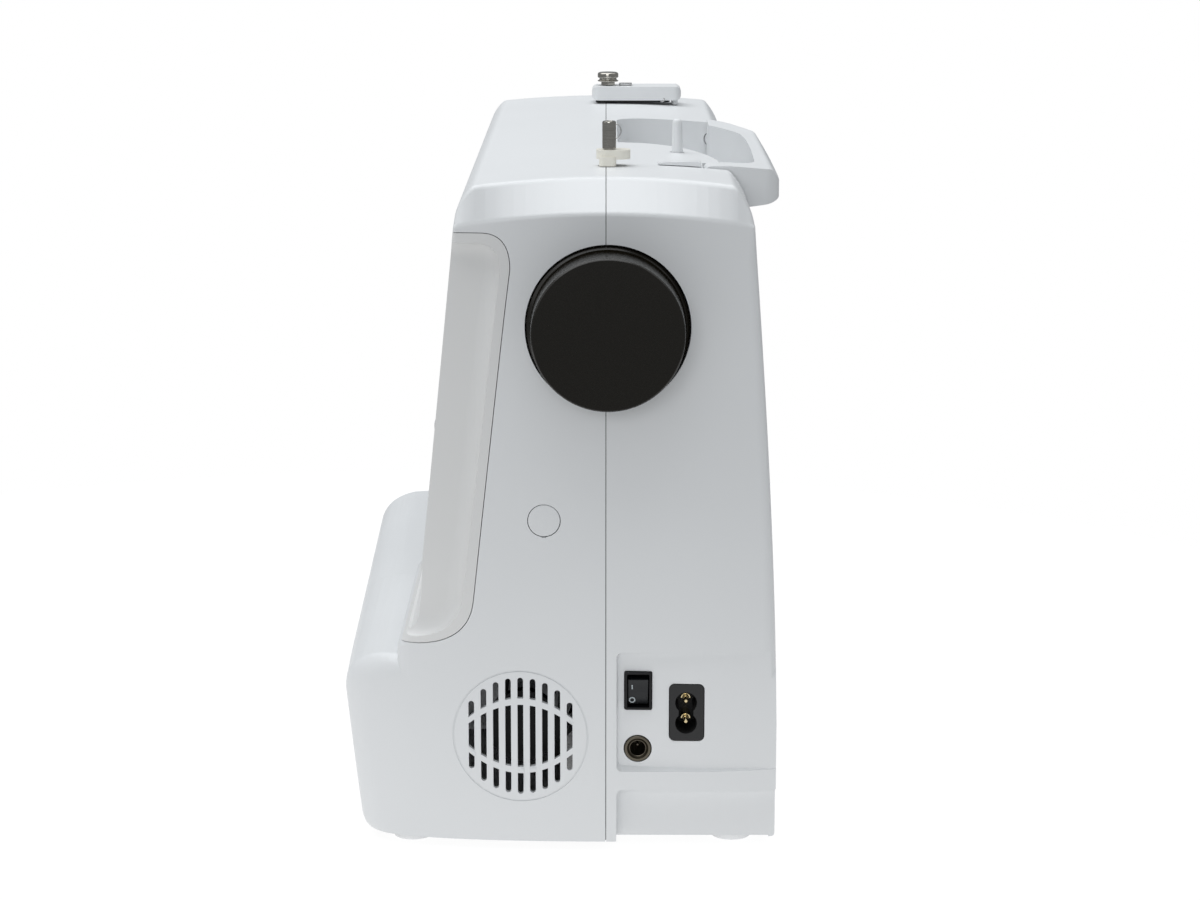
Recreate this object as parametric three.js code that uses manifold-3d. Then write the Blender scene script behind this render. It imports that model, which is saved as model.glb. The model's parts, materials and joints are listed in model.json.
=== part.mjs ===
// A computerised free-arm domestic sewing machine, in millimetres, +Z up.
// +X is the handwheel end, -Y is the operator's side, and the seam between the covers is y = 0 in the
// machine's own group. Inside that group x = 0 is the right-hand end face, and the body runs towards -X.
import * as THREE from "three";
import { mergeVertices } from "three/addons/utils/BufferGeometryUtils.js";
import Module from "manifold-3d";

const wasm = await Module();
wasm.setup();

// ---------------------------------------------------------------- driving dimensions
const LENGTH = 388; // end face to end face
const WALL = 2.6; // moulded wall thickness
const GAP = 0.3; // clearance between neighbours
const SEAM = 0.15; // half of the gap between the front and rear covers
const FOOT_HEIGHT = 4;
const BED_TOP = 75.5;
const BED_SPREAD = { right: 0.4, left: 8.2 }; // how far the bed's front stands out at each end
const BED_CORNER = [ // the front left corner of the bed, from above
  [-297, -116], [-306, -114.6], [-314, -110.4], [-319, -104], [-321.5, -98], [-324, -88], [-340, -76],
  [-354, -67.6], [-364, -60], [-374, -49], [-381, -36], [-386, -21], [-LENGTH, -6],
];
const THROAT = { right: -147, left: -298, top: 187, headBottom: 118, corner: 14 };
const SHOULDER = { crown: 258.4, edge: 253, depth: 17, cornerDepth: 6 };
const FREE_ARM = { left: -366, right: -150.6, halfDepth: 42 };
const SHAFT = { y: 0.8, z: 213, radius: 4 }; // main shaft and handwheel axis
const WHEEL = { radius: 30.6, rim: 32.4, reach: 20, edge: 2.4 };
const PANEL_LEFT = -141; // left edge of the control panel
const VENT = { y: -34.7, z: 44.7, radius: 24.6, pitch: 5, slot: 2.36, columns: 9 };
const CAP = { y: -24.8, z: 134.6, radius: 6.8 };
const SOCKETS = { y0: 4.3, y1: 60, z0: 30, z1: 78.7, depth: 3, step: 22, stepDepth: 7 };
const SWITCH = { y0: 7.7, y1: 18.6, z0: 55.6, z1: 71.4 };
const INLET = { y0: 25.9, y1: 39.8, z0: 42.7, z1: 66.3, pinY: 32.6, pinZ: 54.3, pitch: 8.6 };
const JACK = { y: 13, z: 39, radius: 5.45 };
const WINDER = { x: -57, y: 1.3 };
const SPOOL = { x: -116, y: 30.5 };
const HANDLE = { y: 50, z: 261, boss: 9.3, near: -61, far: -262 };
const NEEDLE = { x: -335, y: -3 };
const HOOK = { x: -335, y: -21 };
const PRESSER = { y: 14 };
const LOWER_SHAFT = { y: -8, z: 24 };
const MOTOR = { y: -34, z: 45, radius: 20 };
const KEYS = { x: [-36, -58, -80, -102], z: 165, halfWidth: 7, halfHeight: 4 };
const OPERATION_BUTTONS = [[-318, 152, 7], [-338, 142, 5.5], [-358, 152, 5.5]]; // x, z and radius
const DIAL = { x: -312, z: 226, radius: 13 };
const SLIDER = { x: -260, z: 210 };
const LCD = { left: -104, right: -34, bottom: 182, top: 218 };

// ---------------------------------------------------------------- colours
const finish = (color, roughness, metalness = 0) =>
  new THREE.MeshStandardMaterial({ color, roughness, metalness });
const WHITE = finish(0xe9ebec, 0.42);
const WARM_WHITE = finish(0xdcdcd8, 0.45);
const CREAM = finish(0xe8e6da, 0.4);
const GREY = finish(0x8d9194, 0.5);
const DARK = finish(0x211d17, 0.38);
const BLACK = finish(0x151617, 0.45);
const CHROME = finish(0xc9c8c4, 0.18, 1);
const BRASS = finish(0xc2a366, 0.3, 1);
const STEEL = finish(0xa9adb0, 0.35, 1);
const CASTING = finish(0x9a9c9d, 0.6, 0.8);
const GREEN = finish(0x1f5a3a, 0.6);
const CLEAR = finish(0x9fb4bd, 0.15);
const RUBBER = finish(0x2a2a2b, 0.9);

// ---------------------------------------------------------------- solid helpers
// A closed three.js geometry as a manifold solid.
function solid(geometry) {
  const bare = geometry.clone();
  bare.deleteAttribute("normal");
  bare.deleteAttribute("uv");
  const merged = mergeVertices(bare, 1e-4);
  const index = merged.index ?? mergeVertices(bare).index;
  return new wasm.Manifold(new wasm.Mesh({
    numProp: 3,
    vertProperties: new Float32Array(merged.attributes.position.array),
    triVerts: new Uint32Array(index.array),
  }));
}

function placed(geometry, axisA, axisB, axisDepth, origin = new THREE.Vector3()) {
  const matrix = new THREE.Matrix4().makeBasis(axisA, axisB, axisDepth).setPosition(origin);
  return solid(geometry.applyMatrix4(matrix));
}

const X = new THREE.Vector3(1, 0, 0);
const Y = new THREE.Vector3(0, 1, 0);
const Z = new THREE.Vector3(0, 0, 1);

function swept(shape, depth, curveSegments) {
  return new THREE.ExtrudeGeometry(shape, { depth, bevelEnabled: false, curveSegments, steps: 1 });
}

// An outline in (y, z) carried along X, in (x, z) along Y, or in (x, y) along Z.
const alongX = (shape, x0, x1, curve = 5) =>
  placed(swept(shape, x1 - x0, curve), Y, Z, X, new THREE.Vector3(x0, 0, 0));
const alongY = (shape, y0, y1, curve = 5) =>
  placed(swept(shape, y1 - y0, curve), X, Z, Y.clone().negate(), new THREE.Vector3(0, y1, 0));
const alongZ = (shape, z0, z1, curve = 5) =>
  placed(swept(shape, z1 - z0, curve), X, Y, Z, new THREE.Vector3(0, 0, z0));

function box(x0, x1, y0, y1, z0, z1) {
  const geometry = new THREE.BoxGeometry(x1 - x0, y1 - y0, z1 - z0);
  return solid(geometry.translate((x0 + x1) / 2, (y0 + y1) / 2, (z0 + z1) / 2));
}

// A turned body: profile holds [radius, distance] pairs from the axis back to the axis.
function turned(direction, centre, profile, segments = 24) {
  const points = profile.map(([r, t]) => new THREE.Vector2(r, t));
  const geometry = new THREE.LatheGeometry(points, segments);
  const turn = new THREE.Quaternion().setFromUnitVectors(Y, direction);
  geometry.applyQuaternion(turn).translate(...centre);
  const body = solid(geometry);
  return body.volume() < 0 ? solid(flipped(geometry)) : body;
}

function flipped(geometry) {
  const turnedOver = geometry.clone();
  const index = turnedOver.index.array;
  for (let i = 0; i < index.length; i += 3) {
    [index[i], index[i + 1]] = [index[i + 1], index[i]];
  }
  return turnedOver;
}

const rod = (direction, centre, radius, t0, t1, segments = 20) =>
  turned(direction, centre, [[0, t0], [radius, t0], [radius, t1], [0, t1]], segments);

function polygon(points) {
  const shape = new THREE.Shape();
  points.forEach(([a, b], i) => (i ? shape.lineTo(a, b) : shape.moveTo(a, b)));
  shape.closePath();
  return shape;
}

function roundedRectangle(a0, a1, b0, b1, r) {
  const shape = new THREE.Shape();
  shape.moveTo(a0 + r, b0);
  shape.lineTo(a1 - r, b0);
  shape.absarc(a1 - r, b0 + r, r, -Math.PI / 2, 0);
  shape.lineTo(a1, b1 - r);
  shape.absarc(a1 - r, b1 - r, r, 0, Math.PI / 2);
  shape.lineTo(a0 + r, b1);
  shape.absarc(a0 + r, b1 - r, r, Math.PI / 2, Math.PI);
  shape.lineTo(a0, b0 + r);
  shape.absarc(a0 + r, b0 + r, r, Math.PI, Math.PI * 1.5);
  return shape;
}

function circle(a, b, r) {
  return new THREE.Shape().absarc(a, b, r, 0, Math.PI * 2);
}

// A wire of round section through a few points.
function wire(points, radius, steps, sides = 8) {
  const path = new THREE.CatmullRomCurve3(points.map((p) => new THREE.Vector3(...p)));
  const section = new THREE.Shape(circle(0, 0, radius).getPoints(sides).slice(0, -1));
  return solid(new THREE.ExtrudeGeometry(section, { extrudePath: path, steps, bevelEnabled: false }));
}

// A skin through rings of equal point counts, closed by flat caps over the first and last ring.
function loft(outlines) {
  const clockwise = THREE.ShapeUtils.isClockWise(outlines[0].map((p) => new THREE.Vector2(p.y, p.z)));
  const rings = clockwise ? outlines.map((ring) => ring.toReversed()) : outlines;
  const count = rings[0].length;
  const positions = rings.flat().flatMap((p) => [p.x, p.y, p.z]);
  const index = [];
  for (let r = 0; r + 1 < rings.length; r++) {
    for (let i = 0; i < count; i++) {
      const a = r * count + i;
      const b = r * count + ((i + 1) % count);
      index.push(a, a + count, b, b, a + count, b + count);
    }
  }
  const outline = rings[0].map((p) => new THREE.Vector2(p.y, p.z));
  const last = (rings.length - 1) * count;
  for (const [i, j, k] of THREE.ShapeUtils.triangulateShape(outline, [])) {
    index.push(i, j, k, last + k, last + j, last + i);
  }
  const geometry = new THREE.BufferGeometry();
  geometry.setAttribute("position", new THREE.Float32BufferAttribute(positions, 3));
  geometry.setIndex(index);
  const body = solid(geometry);
  return body.volume() < 0 ? solid(flipped(geometry)) : body;
}

const joined = (...bodies) => bodies.reduce((a, b) => a.add(b));
const without = (body, ...cuts) => cuts.reduce((a, b) => a.subtract(b), body);

// ---------------------------------------------------------------- outer form
// Every outline below takes an inset, so that the same form gives a cover's outside and its inside.

// The column, arm and head seen from the handwheel end.
function columnOutline(inset) {
  const shape = new THREE.Shape();
  shape.moveTo(69.4 - inset, 55);
  shape.quadraticCurveTo(68.6 - inset, 126, 58.6 - inset, 253);
  shape.quadraticCurveTo(57.3 - inset, 261.5 - inset / 2, 50.6 - inset / 2, 268.6 - inset);
  shape.quadraticCurveTo(0, 273.4 - inset, -52.4 + inset / 2, 268.3 - inset);
  shape.quadraticCurveTo(-59.4 + inset, 262.5 - inset / 2, -60.2 + inset, 253);
  shape.quadraticCurveTo(-66 + inset, 196, -75.2 + inset, 108);
  shape.quadraticCurveTo(-77.4 + inset, 90, -85 + inset, 80);
  shape.lineTo(-85 + inset, 55);
  shape.closePath();
  return shape.getPoints(5).slice(0, -1);
}

// The bed seen from the handwheel end. It gets a little deeper towards the left.
function bedOutline(inset, spread) {
  const shape = new THREE.Shape();
  const bottom = inset > 0 ? -5 : 0;
  shape.moveTo(69.4 - inset, bottom);
  shape.lineTo(-97 - spread + inset, bottom);
  shape.quadraticCurveTo(-100 - spread + inset, bottom + 0.5, -101 - spread + inset, 6);
  shape.quadraticCurveTo(-104.6 - spread + inset, 34, -107.2 - spread + inset, 58);
  shape.quadraticCurveTo(-107.6 - spread + inset, 73 - inset, -90 - spread + inset, BED_TOP - inset);
  shape.lineTo(69.4 - inset, BED_TOP - inset);
  shape.closePath();
  return shape.getPoints(4).slice(0, -1);
}

// The plan view: the right end bows back towards the operator. Each point of frontLeft is one the outline
// passes on its way round the front left corner, and the rear left corner is round.
function planOutline(inset, rear, rearCorner, front, frontLeft) {
  const shape = new THREE.Shape();
  const left = -LENGTH + inset;
  shape.moveTo(-inset, rear);
  shape.lineTo(-inset, 0);
  shape.splineThru([
    new THREE.Vector2(-inset - 2, -47.5),
    new THREE.Vector2(-inset - 6.3, -76),
    new THREE.Vector2(-inset - 14.4, -97.4),
    new THREE.Vector2(-inset - 26, -114),
  ]);
  shape.lineTo(frontLeft[0][0] + inset, front);
  frontLeft.forEach(([x, y]) => shape.lineTo(x + inset, y + inset));
  shape.lineTo(left, rear - rearCorner);
  shape.absarc(left + rearCorner, rear - rearCorner, rearCorner, Math.PI, Math.PI / 2, true);
  shape.closePath();
  return shape;
}

// The space under the arm and the head, seen from the operator's side.
function throatOutline(grow) {
  const { right, left, top, headBottom, corner } = THROAT;
  const shape = new THREE.Shape();
  const r = corner - grow;
  shape.moveTo(right + grow, 40);
  shape.lineTo(right + grow, top + grow - r);
  shape.absarc(right + grow - r, top + grow - r, r, 0, Math.PI / 2);
  shape.lineTo(left - grow + 8, top + grow);
  shape.quadraticCurveTo(left - grow, top + grow, left - grow, top + grow - 8);
  shape.lineTo(left - grow, headBottom + grow);
  shape.lineTo(-LENGTH - 20, headBottom + grow);
  shape.lineTo(-LENGTH - 20, 40);
  shape.closePath();
  return shape;
}

// Column, arm and head, with the end face's arched crease and the sloping shoulder above it.
function upperForm(inset) {
  const outline = columnOutline(inset);
  const arch = (y) => SHOULDER.crown - (SHOULDER.crown - SHOULDER.edge) * (y / 59) ** 2 - inset;
  const slope = SHOULDER.depth - SHOULDER.cornerDepth;
  const plateauX = (y) => -SHOULDER.cornerDepth - slope * (1 - Math.min(1, (y / 52) ** 2));
  const end = outline.map((p) => new THREE.Vector3(-inset, p.x, Math.min(p.y, arch(p.x))));
  const plateau = outline.map((p) => new THREE.Vector3(plateauX(p.x) - inset, p.x, p.y));
  const left = outline.map((p) => new THREE.Vector3(-LENGTH, p.x, p.y));
  const plan = alongZ(planOutline(inset, 80, 26 - inset, -120, [[-380, -120], [-LENGTH, -112]]), 30, 300, 3);
  const corners = alongZ(roundedRectangle(-LENGTH + inset, 20, -86, 86, 20), 30, 300, 4);
  const form = loft([end, plateau, left]).intersect(plan).intersect(corners);
  return without(form, alongY(throatOutline(inset), -130, 130));
}

function bedForm(inset) {
  const ring = (x, spread) => bedOutline(inset, spread).map((p) => new THREE.Vector3(x, p.x, p.y));
  const plan = alongZ(planOutline(inset, 69.4 - inset, 12, -119, BED_CORNER), -10, 90, 6);
  return loft([ring(2, BED_SPREAD.right), ring(-LENGTH - 2, BED_SPREAD.left)]).intersect(plan);
}

const rightOfFreeArm = box(-150, 30, -130, 130, -20, 100);
const outer = joined(upperForm(0), bedForm(0).intersect(rightOfFreeArm));
const inner = joined(
  upperForm(WALL),
  bedForm(WALL).intersect(box(-150 + WALL, 30, -130, 130, -20, 100)),
  box(-145, -12, -70, 64, 50, 80),
);
const liftedOuter = outer.translate(0, 0, GAP);
const freeArmDoor = box(-160, -140, -38, 40, -5, 71);
const frontHalf = box(-420, 60, -160, -SEAM, -20, 320);
const rearHalf = box(-420, 60, SEAM, 160, -20, 320);

// ---------------------------------------------------------------- openings in the covers
// The control panel's edge, seen from the handwheel end.
function panelOutline(grow) {
  const shape = new THREE.Shape();
  const g = grow;
  shape.moveTo(-130, 250.2 + g);
  shape.lineTo(-49, 250.2 + g);
  shape.quadraticCurveTo(-38 + g, 250 + g, -38 + g, 236);
  shape.splineThru([
    new THREE.Vector2(-41 + g, 212),
    new THREE.Vector2(-48 + g, 151),
    new THREE.Vector2(-53.6 + g, 101),
  ]);
  shape.quadraticCurveTo(-55.4 + g, 84 - g, -76 + g, 82.6 - g);
  shape.lineTo(-130, 82.6 - g);
  shape.closePath();
  return shape;
}

// The hand pocket in front of the folded carry handle, seen from above.
function pocketOutline(grow) {
  const shape = new THREE.Shape();
  const g = grow;
  shape.moveTo(-60.2 + g, 110);
  shape.lineTo(-60.2 + g, 40 - g);
  shape.lineTo(-79, 40 - g);
  shape.lineTo(-80.5, 47.4 - g);
  shape.splineThru([
    new THREE.Vector2(-98, 46.6 - g),
    new THREE.Vector2(-121, 40.4 - g),
    new THREE.Vector2(-138, 31 - g),
    new THREE.Vector2(-148 + g, 18 - g),
    new THREE.Vector2(-150 + g, 5 - g),
  ]);
  shape.lineTo(-250 - g, 5 - g);
  shape.quadraticCurveTo(HANDLE.far - 1 - g, 5 - g, HANDLE.far - 1 - g, 22);
  shape.lineTo(HANDLE.far - 1 - g, 110);
  shape.closePath();
  return shape;
}

const panelSpace = (grow) => alongX(panelOutline(grow), PANEL_LEFT - grow, 20, 3);
const pocketSpace = (grow, floor) => alongZ(pocketOutline(grow), floor, 300, 5);

// Vertical slots inside a circle, crossed by two curved ribs.
function ventSlots() {
  const slots = [];
  const middle = (VENT.columns - 1) / 2;
  const ribHalf = 1.3;
  for (let i = 0; i < VENT.columns; i++) {
    const dy = (i - middle) * VENT.pitch;
    const reach = Math.sqrt(VENT.radius ** 2 - dy ** 2);
    const rib = 14.5 - 7.5 * (dy / (middle * VENT.pitch)) ** 2;
    const y0 = VENT.y + dy - VENT.slot / 2;
    const y1 = y0 + VENT.slot;
    const parts = [[-rib + ribHalf, rib - ribHalf]];
    if (reach - rib - ribHalf > 1) {
      parts.push([rib + ribHalf, reach], [-reach, -rib - ribHalf]);
    }
    for (const [z0, z1] of parts) {
      slots.push(box(-12, 4, y0, y1, VENT.z + z0, VENT.z + z1));
    }
  }
  return joined(...slots);
}

const wheelHole = rod(X, [0, SHAFT.y, SHAFT.z], WHEEL.rim + 0.6, -12, 4, 40);
const winderSlot = alongZ(roundedRectangle(WINDER.x - 4.2, WINDER.x + 4.2, -3.3, 8.6, 4), 240, 300, 4);
const underHead = box(-357, -313, -16, 30, 100, 130);

// Where the front face of the column and head lies, along y, at a given z.
function frontFaceY(z) {
  const points = columnOutline(0);
  for (let i = 0; i + 1 < points.length; i++) {
    const [a, b] = [points[i], points[i + 1]];
    if (a.x < -50 && b.x < -50 && a.y >= z && b.y <= z) {
      return a.x + ((b.x - a.x) * (a.y - z)) / (a.y - b.y);
    }
  }
  return -60;
}

// ---------------------------------------------------------------- covers
function frontCover() {
  const openings = [
    panelSpace(GAP),
    ventSlots(),
    wheelHole,
    winderSlot,
    underHead,
    rod(X, [0, CAP.y, CAP.z], CAP.radius + GAP, -10, 4, 24),
    alongY(roundedRectangle(-347.6, -340.4, 178, 244, 3), -90, -50), // thread take-up slot
    alongY(roundedRectangle(SLIDER.x - 22, SLIDER.x + 22, SLIDER.z - 4, SLIDER.z + 4, 3.5), -90, -50),
    rod(Y, [DIAL.x, 0, DIAL.z], DIAL.radius + 0.4, -90, -50, 24),
    ...OPERATION_BUTTONS.map(([x, z, r]) => rod(Y, [x, 0, z], r + 0.4, -90, -50, 20)),
    box(-313, -302, -36, -24, 112, 121.4), // lamp
  ];
  return without(outer.subtract(inner).intersect(frontHalf), ...openings, freeArmDoor, faceCoverSpace(GAP));
}

function faceCoverSpace(grow) {
  return alongY(roundedRectangle(-420, -366 + grow, 110, 248 + grow, 12), -130, 130, 4);
}

function rearCover() {
  const { y0, y1, z0, z1, depth, step, stepDepth } = SOCKETS;
  const switchSpace = roundedRectangle(
    SWITCH.y0 - GAP, SWITCH.y1 + GAP, SWITCH.z0 - GAP, SWITCH.z1 + GAP, 0.8);
  const inletSpace = roundedRectangle(INLET.y0 - GAP, INLET.y1 + GAP, INLET.z0 - GAP, INLET.z1 + GAP, 2.4);
  const socketBlock = box(-11, -2, 2, 66.4, 0.5, 84);
  const pivotNear = box(-60.2, -48, 40, 58, 250, 268);
  const pivotFar = box(HANDLE.far - 13, HANDLE.far - 1, 40, 58, 250, 268);
  const walls = outer.subtract(inner);
  const pocketWalls = pocketSpace(WALL, 233).intersect(outer);
  const blocks = [socketBlock, pivotNear, pivotFar].map((block) => block.intersect(outer));
  const body = joined(walls, ...blocks, pocketWalls);
  return without(
    body.intersect(rearHalf),
    pocketSpace(0, 236),
    rod(X, [0, HANDLE.y, HANDLE.z], 3.4, HANDLE.far - 6.5, -54, 16),
    alongZ(polygon([[4, y0], [-depth, y0], [0, y1], [4, y1]]), z0, z1),
    box(-stepDepth, 4, y0, 90, -20, step),
    alongX(switchSpace, -30, 4, 2),
    alongX(inletSpace, -30, 4, 3),
    rod(X, [0, JACK.y, JACK.z], JACK.radius + GAP, -30, 4, 24),
    rod(Z, [SPOOL.x, SPOOL.y, 0], 3.1, 240, 300, 16),
    wheelHole,
    winderSlot,
    underHead,
    freeArmDoor,
    box(-348, -322, 18, 80, 100, 150), // presser lever slot
    faceCoverSpace(GAP),
  );
}

function faceCover() {
  return without(outer.subtract(inner).intersect(faceCoverSpace(0)), underHead);
}

function freeArmCover() {
  const { left, right, halfDepth } = FREE_ARM;
  const shell = box(left, right, -halfDepth, halfDepth, 3.6, BED_TOP);
  const hollow = box(left + WALL, right + 5, -halfDepth + WALL, halfDepth - WALL, -5, BED_TOP - WALL);
  const round = alongX(roundedRectangle(-halfDepth, halfDepth, -20, BED_TOP, 5), -400, -100, 3);
  const window = box(-362, -304, -39, 39, 60, 100);
  return without(shell.intersect(round), hollow, window);
}

function basePlate() {
  const right = box(-146.5, -16, -84, 66, GAP, 3.2);
  const arm = box(-362, -146, -37.5, 38, GAP, 3.2);
  return joined(right, arm);
}

function accessoryBox() {
  const { left, halfDepth } = FREE_ARM;
  const leftOfBody = box(-420, -151, -130, halfDepth, 0.5, 100);
  const armSpace = box(left - 0.6, 0, -halfDepth - 0.6, 130, -20, 100);
  const store = box(-314, -156, -96, 0, 4, BED_TOP - WALL);
  return without(bedForm(0).intersect(leftOfBody), armSpace, store);
}

// The panel wraps from the front of the column on to the end face, where it is scooped out.
function frontPanel() {
  const deepInner = inner.intersect(box(-400, -7, -200, 200, -20, 320));
  const scoop = new THREE.Shape();
  scoop.moveTo(-90, 246.5);
  scoop.lineTo(-52, 246.5);
  scoop.quadraticCurveTo(-42, 246, -42, 235);
  scoop.splineThru([new THREE.Vector2(-45, 211), new THREE.Vector2(-52, 150), new THREE.Vector2(-57.6, 104)]);
  scoop.quadraticCurveTo(-60, 90, -78, 87.5);
  scoop.lineTo(-90, 87.5);
  scoop.closePath();
  const width = KEYS.halfWidth + 0.4;
  const height = KEYS.halfHeight + 0.4;
  const holes = KEYS.x.map((x) =>
    alongY(roundedRectangle(x - width, x + width, KEYS.z - height, KEYS.z + height, 2.5), -90, -50, 3));
  return without(
    outer.intersect(panelSpace(0)),
    deepInner,
    alongX(scoop, -3.4, 20, 4),
    ...holes,
    alongY(roundedRectangle(LCD.left, LCD.right, LCD.bottom, LCD.top, 3), -90, -50, 3),
  );
}

// ---------------------------------------------------------------- controls
function lcdLens() {
  const { left, right, bottom, top } = LCD;
  const window = alongY(roundedRectangle(left + GAP, right - GAP, bottom + GAP, top - GAP, 3), -90, -55, 3);
  return without(outer.intersect(window), outer.translate(0, 1.6, 0));
}

function circuitBoard() {
  const display = box(LCD.left + 2, LCD.right - 2, -57.5, -51, LCD.bottom + 2, LCD.top - 2);
  return joined(box(-134, -16, -52.6, -51, 120, 228), display);
}

function patternKey(x) {
  const { z, halfWidth, halfHeight } = KEYS;
  const outline = roundedRectangle(x - halfWidth, x + halfWidth, z - halfHeight, z + halfHeight, 2.2);
  const face = alongY(outline, frontFaceY(z) - 0.6, -60.5, 3);
  return joined(face, box(x - 2, x + 2, -61, -56, z - 2, z + 2));
}

function operationButton([x, z, radius]) {
  const face = frontFaceY(z);
  const profile = [[0, -1.6], [radius - 1, -1.6], [radius, -0.8], [radius, 6], [2.5, 6], [2.5, 12], [0, 12]];
  return turned(Y, [x, face, z], profile, 14);
}

function speedSlider() {
  const { x, z } = SLIDER;
  const face = frontFaceY(z);
  const thumb = box(x - 6, x + 6, face - 2.4, face + 6, z - 3, z + 3);
  return joined(thumb, box(x - 8, x + 8, face + 4, face + 7, z - 6, z + 6));
}

function tensionDial() {
  const { x, z, radius } = DIAL;
  const profile = [[0, -4], [radius - 1.4, -4], [radius, -2.6], [radius, 8], [4, 8], [4, 20], [0, 20]];
  return turned(Y, [x, frontFaceY(z), z], profile, 32);
}

// ---------------------------------------------------------------- end face fittings
function handwheel() {
  const { radius, rim, reach, edge } = WHEEL;
  const profile = [
    [0, -2], [rim - 6, -2], [rim - 6, -8], [rim, -8], [rim, -0.6], [radius, 0.6], [radius, reach - edge],
    [radius - edge * 0.3, reach - edge * 0.3], [radius - edge, reach], [0, reach],
  ];
  const hub = turned(X, [0, SHAFT.y, SHAFT.z], [[0, -14], [9, -14], [9, 0], [0, 0]], 20);
  const bore = rod(X, [0, SHAFT.y, SHAFT.z], SHAFT.radius + GAP, -20, -4, 20);
  return joined(turned(X, [0, SHAFT.y, SHAFT.z], profile, 40), hub).subtract(bore);
}

function beltCap() {
  const { y, z, radius } = CAP;
  return turned(X, [-0.6, y, z], [[0, -3], [radius, -3], [radius, -0.4], [radius - 0.4, 0], [0, 0]], 24);
}

function switchHousing() {
  const { y0, y1, z0, z1 } = SWITCH;
  const shell = box(-18, -1.4, y0, y1, z0, z1);
  return shell.subtract(box(-15, 2, y0 + 1, y1 - 1, z0 + 1, z1 - 1));
}

// The rocker is drawn with its lower half pressed in, and turns about a pin across its middle.
function powerRocker() {
  const { y0, y1, z0, z1 } = SWITCH;
  const middle = (z0 + z1) / 2;
  const shape = polygon([
    [-0.1, middle], [1.6, z1 - 2.9], [-5, z1 - 3.2], [-8, middle], [-5.4, z0 + 2.2], [-1.9, z0 + 1.9],
  ]);
  return alongY(shape, y0 + 1.4, y1 - 1.4).translate(-2, 0, 0);
}

function inletHousing() {
  const { y0, y1, z0, z1, pinY, pinZ, pitch } = INLET;
  const body = alongX(roundedRectangle(y0, y1, z0, z1, 2), -24, -1.4, 3);
  const lobes = [-1, 1].map((s) => rod(X, [0, pinY, pinZ + (s * pitch) / 2], 4.4, -18, 4, 20));
  const waist = box(-18, 4, pinY - 3, pinY + 3, pinZ - 2.5, pinZ + 2.5);
  const pinHoles = [-1, 1].map((s) => rod(X, [0, pinY, pinZ + (s * pitch) / 2], 1.6, -22, 0, 12));
  return without(body, ...lobes, waist, ...pinHoles);
}

function inletPin(side) {
  const { pinY, pinZ, pitch } = INLET;
  const centre = [0, pinY, pinZ + (side * pitch) / 2];
  return turned(X, centre, [[0, -21.5], [1.2, -21.5], [1.2, -5], [0.6, -4], [0, -4]], 12);
}

function footJack() {
  const { y, z, radius } = JACK;
  const body = [[0, -24], [radius, -24], [radius, -0.6], [radius - 0.8, 0]];
  const socket = [[3.2, 0], [3.2, -18], [0, -18]];
  return turned(X, [-2.2, y, z], [...body, ...socket], 24);
}

// ---------------------------------------------------------------- top fittings
function winderSeat() {
  const { x } = WINDER;
  const plate = alongZ(roundedRectangle(x - 7, x + 7, -4, 10, 6.5), 272.2, 277.6, 4);
  const collar = rod(Z, [x, WINDER.y - 0.7, 0], 3.4, 256, 273, 20);
  return joined(plate, collar).subtract(rod(Z, [x, WINDER.y, 0], 1.9, 240, 300, 12));
}

function winderShaft() {
  const { x, y } = WINDER;
  const profile = [
    [0, 242], [10, 242], [10, 248], [1.6, 248], [1.6, 278],
    [2.85, 278], [2.85, 288.4], [2.2, 289.2], [0, 289.2],
  ];
  return turned(Z, [x, y, 0], profile, 20);
}

function winderSpring() {
  const { x, y } = WINDER;
  const points = [
    [x, y + 3.3, 287.6], [x, y + 4.3, 287.2], [x, y + 4.9, 285.4], [x, y + 4.2, 283.2], [x, y + 3.4, 282],
  ];
  return wire(points, 0.25, 8, 6);
}

function threadCutter() {
  const shape = polygon([[21, 267], [39.2, 266], [39.2, 271.6], [36, 272.2], [21.4, 271.8]]);
  return alongX(shape, -76, -67).subtract(liftedOuter);
}

function spoolPin() {
  const profile = [[0, 247], [2.6, 247], [2.6, 268], [2.45, 283.4], [1.9, 284.4], [0, 284.4]];
  return turned(Z, [SPOOL.x, SPOOL.y, 0], profile, 16);
}

function threadGuideBar() {
  const bar = alongZ(roundedRectangle(-358, -338, -7, 37.6, 4), 274, 279.4, 4);
  const post = rod(Z, [-348, 1, 0], 3, 268, 275, 12);
  const leg = box(-354, -342, 33, 36, 264, 275);
  return joined(bar, post, leg, guideHook()).subtract(liftedOuter);
}

function pretensionKnob() {
  const profile = [[0, 279.7], [4, 279.7], [4, 281.4], [5.2, 281.8], [5.2, 285.4], [4.4, 286], [0, 286]];
  return turned(Z, [-348, 1, 0], profile, 24);
}

function guidePlate() {
  return alongZ(roundedRectangle(-351, -345, 6.6, 13, 1), 279.7, 280.5, 2);
}

// The wire eye that hangs under the guide bar.
function guideHook() {
  const points = [[-340, 27.4, 276.4], [-338.6, 27.8, 274.4], [-338.2, 29, 272.8], [-338.6, 27.4, 272]];
  return wire(points, 0.5, 8, 6);
}

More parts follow.
